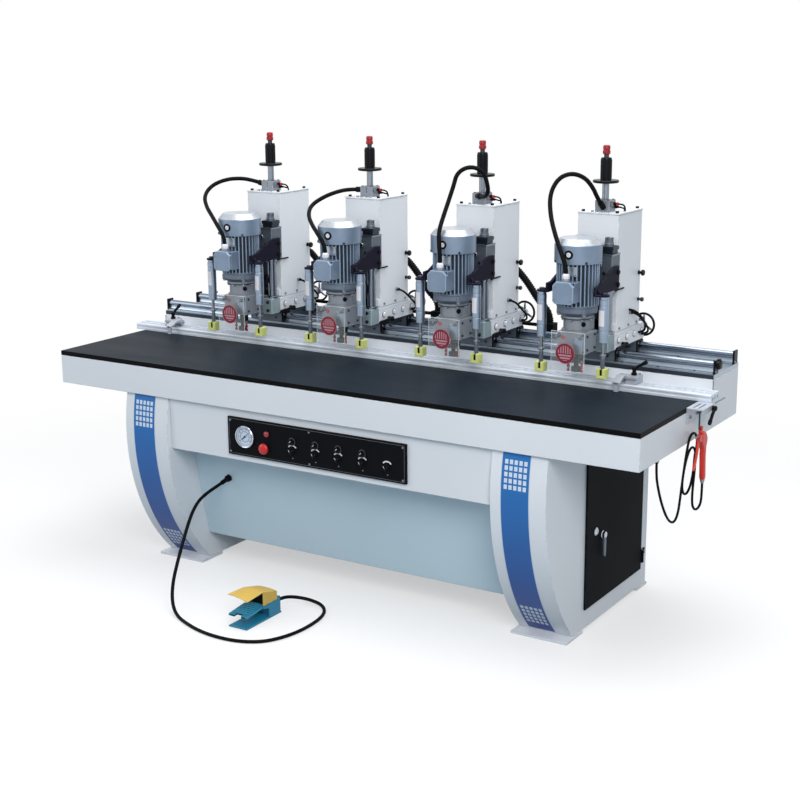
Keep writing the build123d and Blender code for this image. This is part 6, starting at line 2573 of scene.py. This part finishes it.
@dataclass
class Motors(BoringHeads):
    """Flange motors with ribs, fan covers, terminal boxes and cables."""

    y: float = 475.0
    seat: float = 1113.0
    top: float = 1392.0
    ribs: int = 32
    corners: tuple[float, ...] = (45, 135, 225, 315)
    cable_radius: float = 8.0
    gland: tuple[float, float, float] = (3.0, 374.0, 1254.0)
    routes: Sequence[Sequence[Point]] = (
        ((0, 0, 0), (0, 0, 42), (-36, 6, 84), (-94, 42, 118), (-158, 86, 148), (-206, 132, 184),
            (-206, 180, 222), (-164, 222, 246), (-114, 260, 250), (-74, 286, 241), (-48, 300, 232)),
        ((0, 0, 0), (0, 0, 42), (-38, 8, 84), (-94, 46, 114), (-146, 96, 142), (-168, 146, 174),
            (-140, 196, 204), (-106, 240, 222), (-76, 276, 229), (-50, 298, 228)),
        ((0, 0, 0), (0, 0, 40), (-6, 2, 86), (-12, 12, 130), (-16, 46, 172), (-18, 88, 226),
            (-14, 122, 286), (-6, 128, 325), (20, 147, 349), (52, 171, 349), (77, 190, 325),
            (85, 196, 286), (82, 208, 262), (68, 222, 244), (46, 241, 236), (28, 256, 234),
            (10, 272, 233)),
        ((0, 0, 0), (0, 0, 40), (-20, 3, 84), (-60, 34, 140), (-104, 80, 204), (-130, 124, 272),
            (-116, 160, 326), (-78, 190, 344), (-38, 214, 328), (-14, 232, 292), (-4, 248, 256),
            (0, 272, 232)))
    lengths: tuple[float, ...] = (0.58, 0.5, 0.63, 0.61)

    def build(self) -> None:
        """Make the motors and their cables."""
        self.frame()
        self.cover()
        self.terminal_box()
        for number, route in enumerate(self.routes, 1):
            self.cable(number, route)

    def frame(self) -> None:
        """Make the flange and the ribbed body, with painted shade on the flange and between the
        ribs.
        """
        at = (0, self.y, 0)
        z = self.seat
        # The flange and its lugs are painted darker than the motor, as the shade beneath it.
        flange = BENCH.turned(
            [(57, z), (60, z + 2), (70, z + 12), (72, z + 14), (72, z + 32), (75, z + 34),
                (75, z + 39), (69, z + 41)], at, Z, 48, MOTOR_SHADE_GREY)
        # The core shows between the ribs; it is painted nearly black as the shade in those gaps.
        core = BENCH.turned([(66, z + 36), (66, z + 190)], at, Z, 40, MOTOR_SHADE_AND_SEAM, 0.5)
        rib = BENCH.block((-2.4, self.y - 76, z + 38), (2.4, self.y - 63, z + 188), MOTOR, 1.5)
        BENCH.ring(rib, self.ribs, at, Z)
        lugs = []
        for angle in self.corners:
            lean = math.radians(angle)
            spot = (67 * math.cos(lean), self.y + 67 * math.sin(lean))
            lug = BENCH.turned(
                [(8, z + 8), (9, z + 10), (9, z + 28), (7, z + 30)], (*spot, 0), Z, 20, MOTOR_SHADE_GREY)
            lugs += [lug, BENCH.hexed((*spot, z + 2), Z, 12, 7, STEEL)]
        plate = BENCH.block((-14, self.y - 78.5, z + 146), (34, self.y - 68, z + 180), ALUMINIUM, 1)
        pins = BENCH.screws(
            [(x, self.y - 78.5, z + a) for x in (-9, 29) for a in (151, 175)], Y, 2, -1, STEEL)
        self.spread(
            BENCH.join(flange, core, rib, plate, pins, *lugs), "motor_frame", "drill", "motor")

    def cover(self) -> None:
        """Make the fan cover, its top painted paler as highlight, grille darker as shade, and plug.
        """
        at = (0, self.y, 0)
        z = self.top - 7
        crown = z - 22
        cover = BENCH.turned(
            [(80, z - 86), (83, z - 85), (84, z - 83), (84, crown), (83, crown + 2), (67, z - 2),
                (65, z)], at, Z, 56, MOTOR)
        # The faces above the crown's edge get the paler finish, as a painted highlight on the top.
        BENCH.paint_faces(cover, MOTOR_TOP_HIGHLIGHT, lambda at, way: at.z > crown + 1)
        # The grille rings are painted darker than the cover, as the shade in its slots.
        grille = BENCH.turned(
            [(62, z - 6), (65, z - 0.4), (64, z), (60, z), (58, z - 2.4), (52, z - 2.4), (50, z),
                (44, z), (42, z - 2.4), (36, z - 2.4), (34, z), (28, z), (26, z - 2.4),
                (20, z - 2.4), (18, z)], at, Z, 56, MOTOR_SHADE_GREY)
        screws = []
        for angle in self.corners:
            lean = math.radians(angle)
            spot = (83 * math.cos(lean), self.y + 83 * math.sin(lean), z - 79)
            screws.append(BENCH.turn(BENCH.screw(spot, X, 4.6, 4, DARK_STEEL), angle, spot, Z))
        front = (3, self.y - 84, self.top - 58)
        ring = BENCH.turned(
            [(16, 4), (16, -0.6), (14.5, -1.8), (9.6, -1.8), (9, -0.8)], front, Y, 32, PLASTIC)
        disc = BENCH.turned([(9, 0), (8.6, -1.2), (3, -1.6)], front, Y, 28, LABEL)
        self.spread(BENCH.join(cover, grille, *screws, ring, disc), "fan_cover", "drill")

    def terminal_box(self) -> None:
        """Make the cut-cornered terminal box with its lid and gland."""
        low, high = self.seat + 54, self.seat + 132
        box = BENCH.block((-35, 366, low + 3), (39, 436, high - 3), None, 2)
        corner, foot = 15, 9
        outline = [
            (-38 + foot, low), (42 - foot, low), (42, low + foot), (42, high - corner),
            (42 - corner, high), (-38 + corner, high), (-38, high - corner), (-38, low + foot)]
        lid = BENCH.prism(outline, 350, 365, Y, None, 2.6, 2, 30)
        BENCH.paint(BENCH.join(box, lid), MOTOR)
        seam = BENCH.block((-34, 363, low + 4), (38, 368, high - 4), MOTOR_SHADE_AND_SEAM, 0.3, 1)
        spots = [(x, 350.2, z) for x in (-28, 32) for z in (low + 14, high - 20)]
        screws = BENCH.screws(spots, Y, 3, -1.4, STEEL)
        x, y, z = self.gland
        nut = BENCH.hexed((x, y, high - 1), Z, 26, 12, CAST_PALE)
        dome = BENCH.turned(
            [(12.6, high + 10), (13, high + 12), (13, high + 20), (11, high + 25),
                (8.3, high + 27)], (x, y, 0), Z, 28, LABEL)
        self.spread(BENCH.join(box, seam, screws, nut, dome), "terminal_box", "drill")

    def cable(self, number: int, route: Sequence[Point]) -> None:
        """Bend one motor cable and its gland on the stop block.

        Args:
            number: The head's number.
            route: Offsets of its control points from the terminal box's gland.
        """
        start = Vector(self.gland) + Vector((self.places[number - 1], 0, 0))
        places = [start + Vector(offset) for offset in route]
        points = [shop(*place) for place in places]
        cable = BENCH.line(f"motor_cable_run_{number}", points, self.cable_radius)
        BENCH.only(cable)
        bpy.ops.object.convert(target="MESH")
        cable = BENCH.dress(bpy.context.object, RUBBER, 0, 2, 60)
        cable.name = cable.data.name = f"motor_cable_run_{number}"
        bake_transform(cable)
        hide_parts(f"motor_cable_{number}")
        [tuple(p) for p in BENCH.trace(points)]
        aim = (places[-1] - places[-2]).normalized()
        sleeve = BENCH.pipe(
            [places[-1] - aim * 6, places[-1] + aim * 6, places[-1] + aim * 22],
            self.cable_radius + 3, PLASTIC, 1)
        BENCH.deliver(sleeve, f"cable_gland_{number}", f"head_{number}")
        LOG.info("motor_cable_run_%d bends between drill and head", number)


@dataclass
class ClampFeet(BoringHeads):
    """Clamp rods with their yellow pads."""

    x: float = 120.0
    y: float = 437.0
    low: float = 903.0
    rod_top: float = 1150.0

    def build(self) -> None:
        """Make one foot and copy it to both sides of every head."""
        pad = BENCH.block(
            (self.x - 17.5, self.y - 16, self.low), (self.x + 17.5, self.y + 16, self.low + 36))
        slot = BENCH.block(
            (self.x - 4.5, self.y - 30, self.low + 11), (self.x + 4.5, self.y - 7, self.low + 50))
        BENCH.cut(pad, slot)
        BENCH.dress(pad, PAD, 2.6, 3)
        bolt = BENCH.block(
            (self.x - 4.6, self.y - 13.5, self.low + 12), (self.x + 4.6, self.y - 6, self.low + 33),
            PLASTIC, 1.6)
        base = self.low + 30
        sleeve = BENCH.turned(
            [(6.6, base), (8, base + 8), (8, base + 40), (7, base + 42), (6, base + 42)],
            (self.x, self.y, 0), Z, 24, CAST)
        rod = BENCH.turned(
            [(6, base + 30), (6, base + 48), (11, base + 48), (11.6, base + 49), (11.6, base + 55),
                (11, base + 56), (6, base + 56), (6, self.rod_top - 1), (5, self.rod_top)],
            (self.x, self.y, 0), Z, 24, STEEL)
        foot = BENCH.join(pad, bolt, sleeve, rod)
        self.spread(BENCH.row(foot, [(-2 * self.x, 0, 0)]), "clamp_foot", "clamp", "clamp_feet")


@dataclass
class Handwheels(BoringHeads):
    """Three-spoke handwheels behind the saddles."""

    x: float = 65.0
    z: float = 1010.0
    near: float = 914.0
    radius: float = 41.0

    def build(self) -> None:
        """Make one wheel and copy it."""
        at = (self.x, self.near, self.z)
        bpy.ops.mesh.primitive_torus_add(
            major_radius=self.radius * MM, minor_radius=4.5 * MM, major_segments=48,
            minor_segments=12)
        rim = BENCH.settle(bpy.context.object, Y.place((self.x, self.near + 10, self.z)))
        # The rim is chrome; black gloss paints the dark reflections that it shows.
        BENCH.dress(rim, SATIN, 0, 2, 60)
        hub = BENCH.turned(
            [(7, -19), (7, 0), (13, 0), (13, 14), (11, 18), (8, 20), (6, 20), (5.4, 16)], at, Y, 28,
            CHROME)
        spoke = BENCH.prism(
            [(self.x - 5, self.z + 8), (self.x - 3.4, self.z + self.radius),
                (self.x + 3.4, self.z + self.radius), (self.x + 5, self.z + 8)], self.near + 7,
            self.near + 13, Y, CHROME, 1.6)
        BENCH.ring(spoke, 3, at, Y)
        self.spread(
            BENCH.join(rim, hub, spoke), "rail_handwheel", "wheel", "handwheel", slot=Slot.CHROME)


def main() -> None:
    """Build the machine and report its pieces."""
    logging.basicConfig(level=logging.INFO, format="%(message)s")
    for part in (Studio(), Hoses(), Motors(), Table(), RailBed(), Fence(), Pedestal(),
                 ControlPanel(), FootPedal(), AirGun(), Carriages(), Columns(), Drills(),
                 ClampFeet(), Handwheels()):
        LOG.info("building %s", type(part).__name__)
        part.build()


if __name__ == "__main__":
    main()
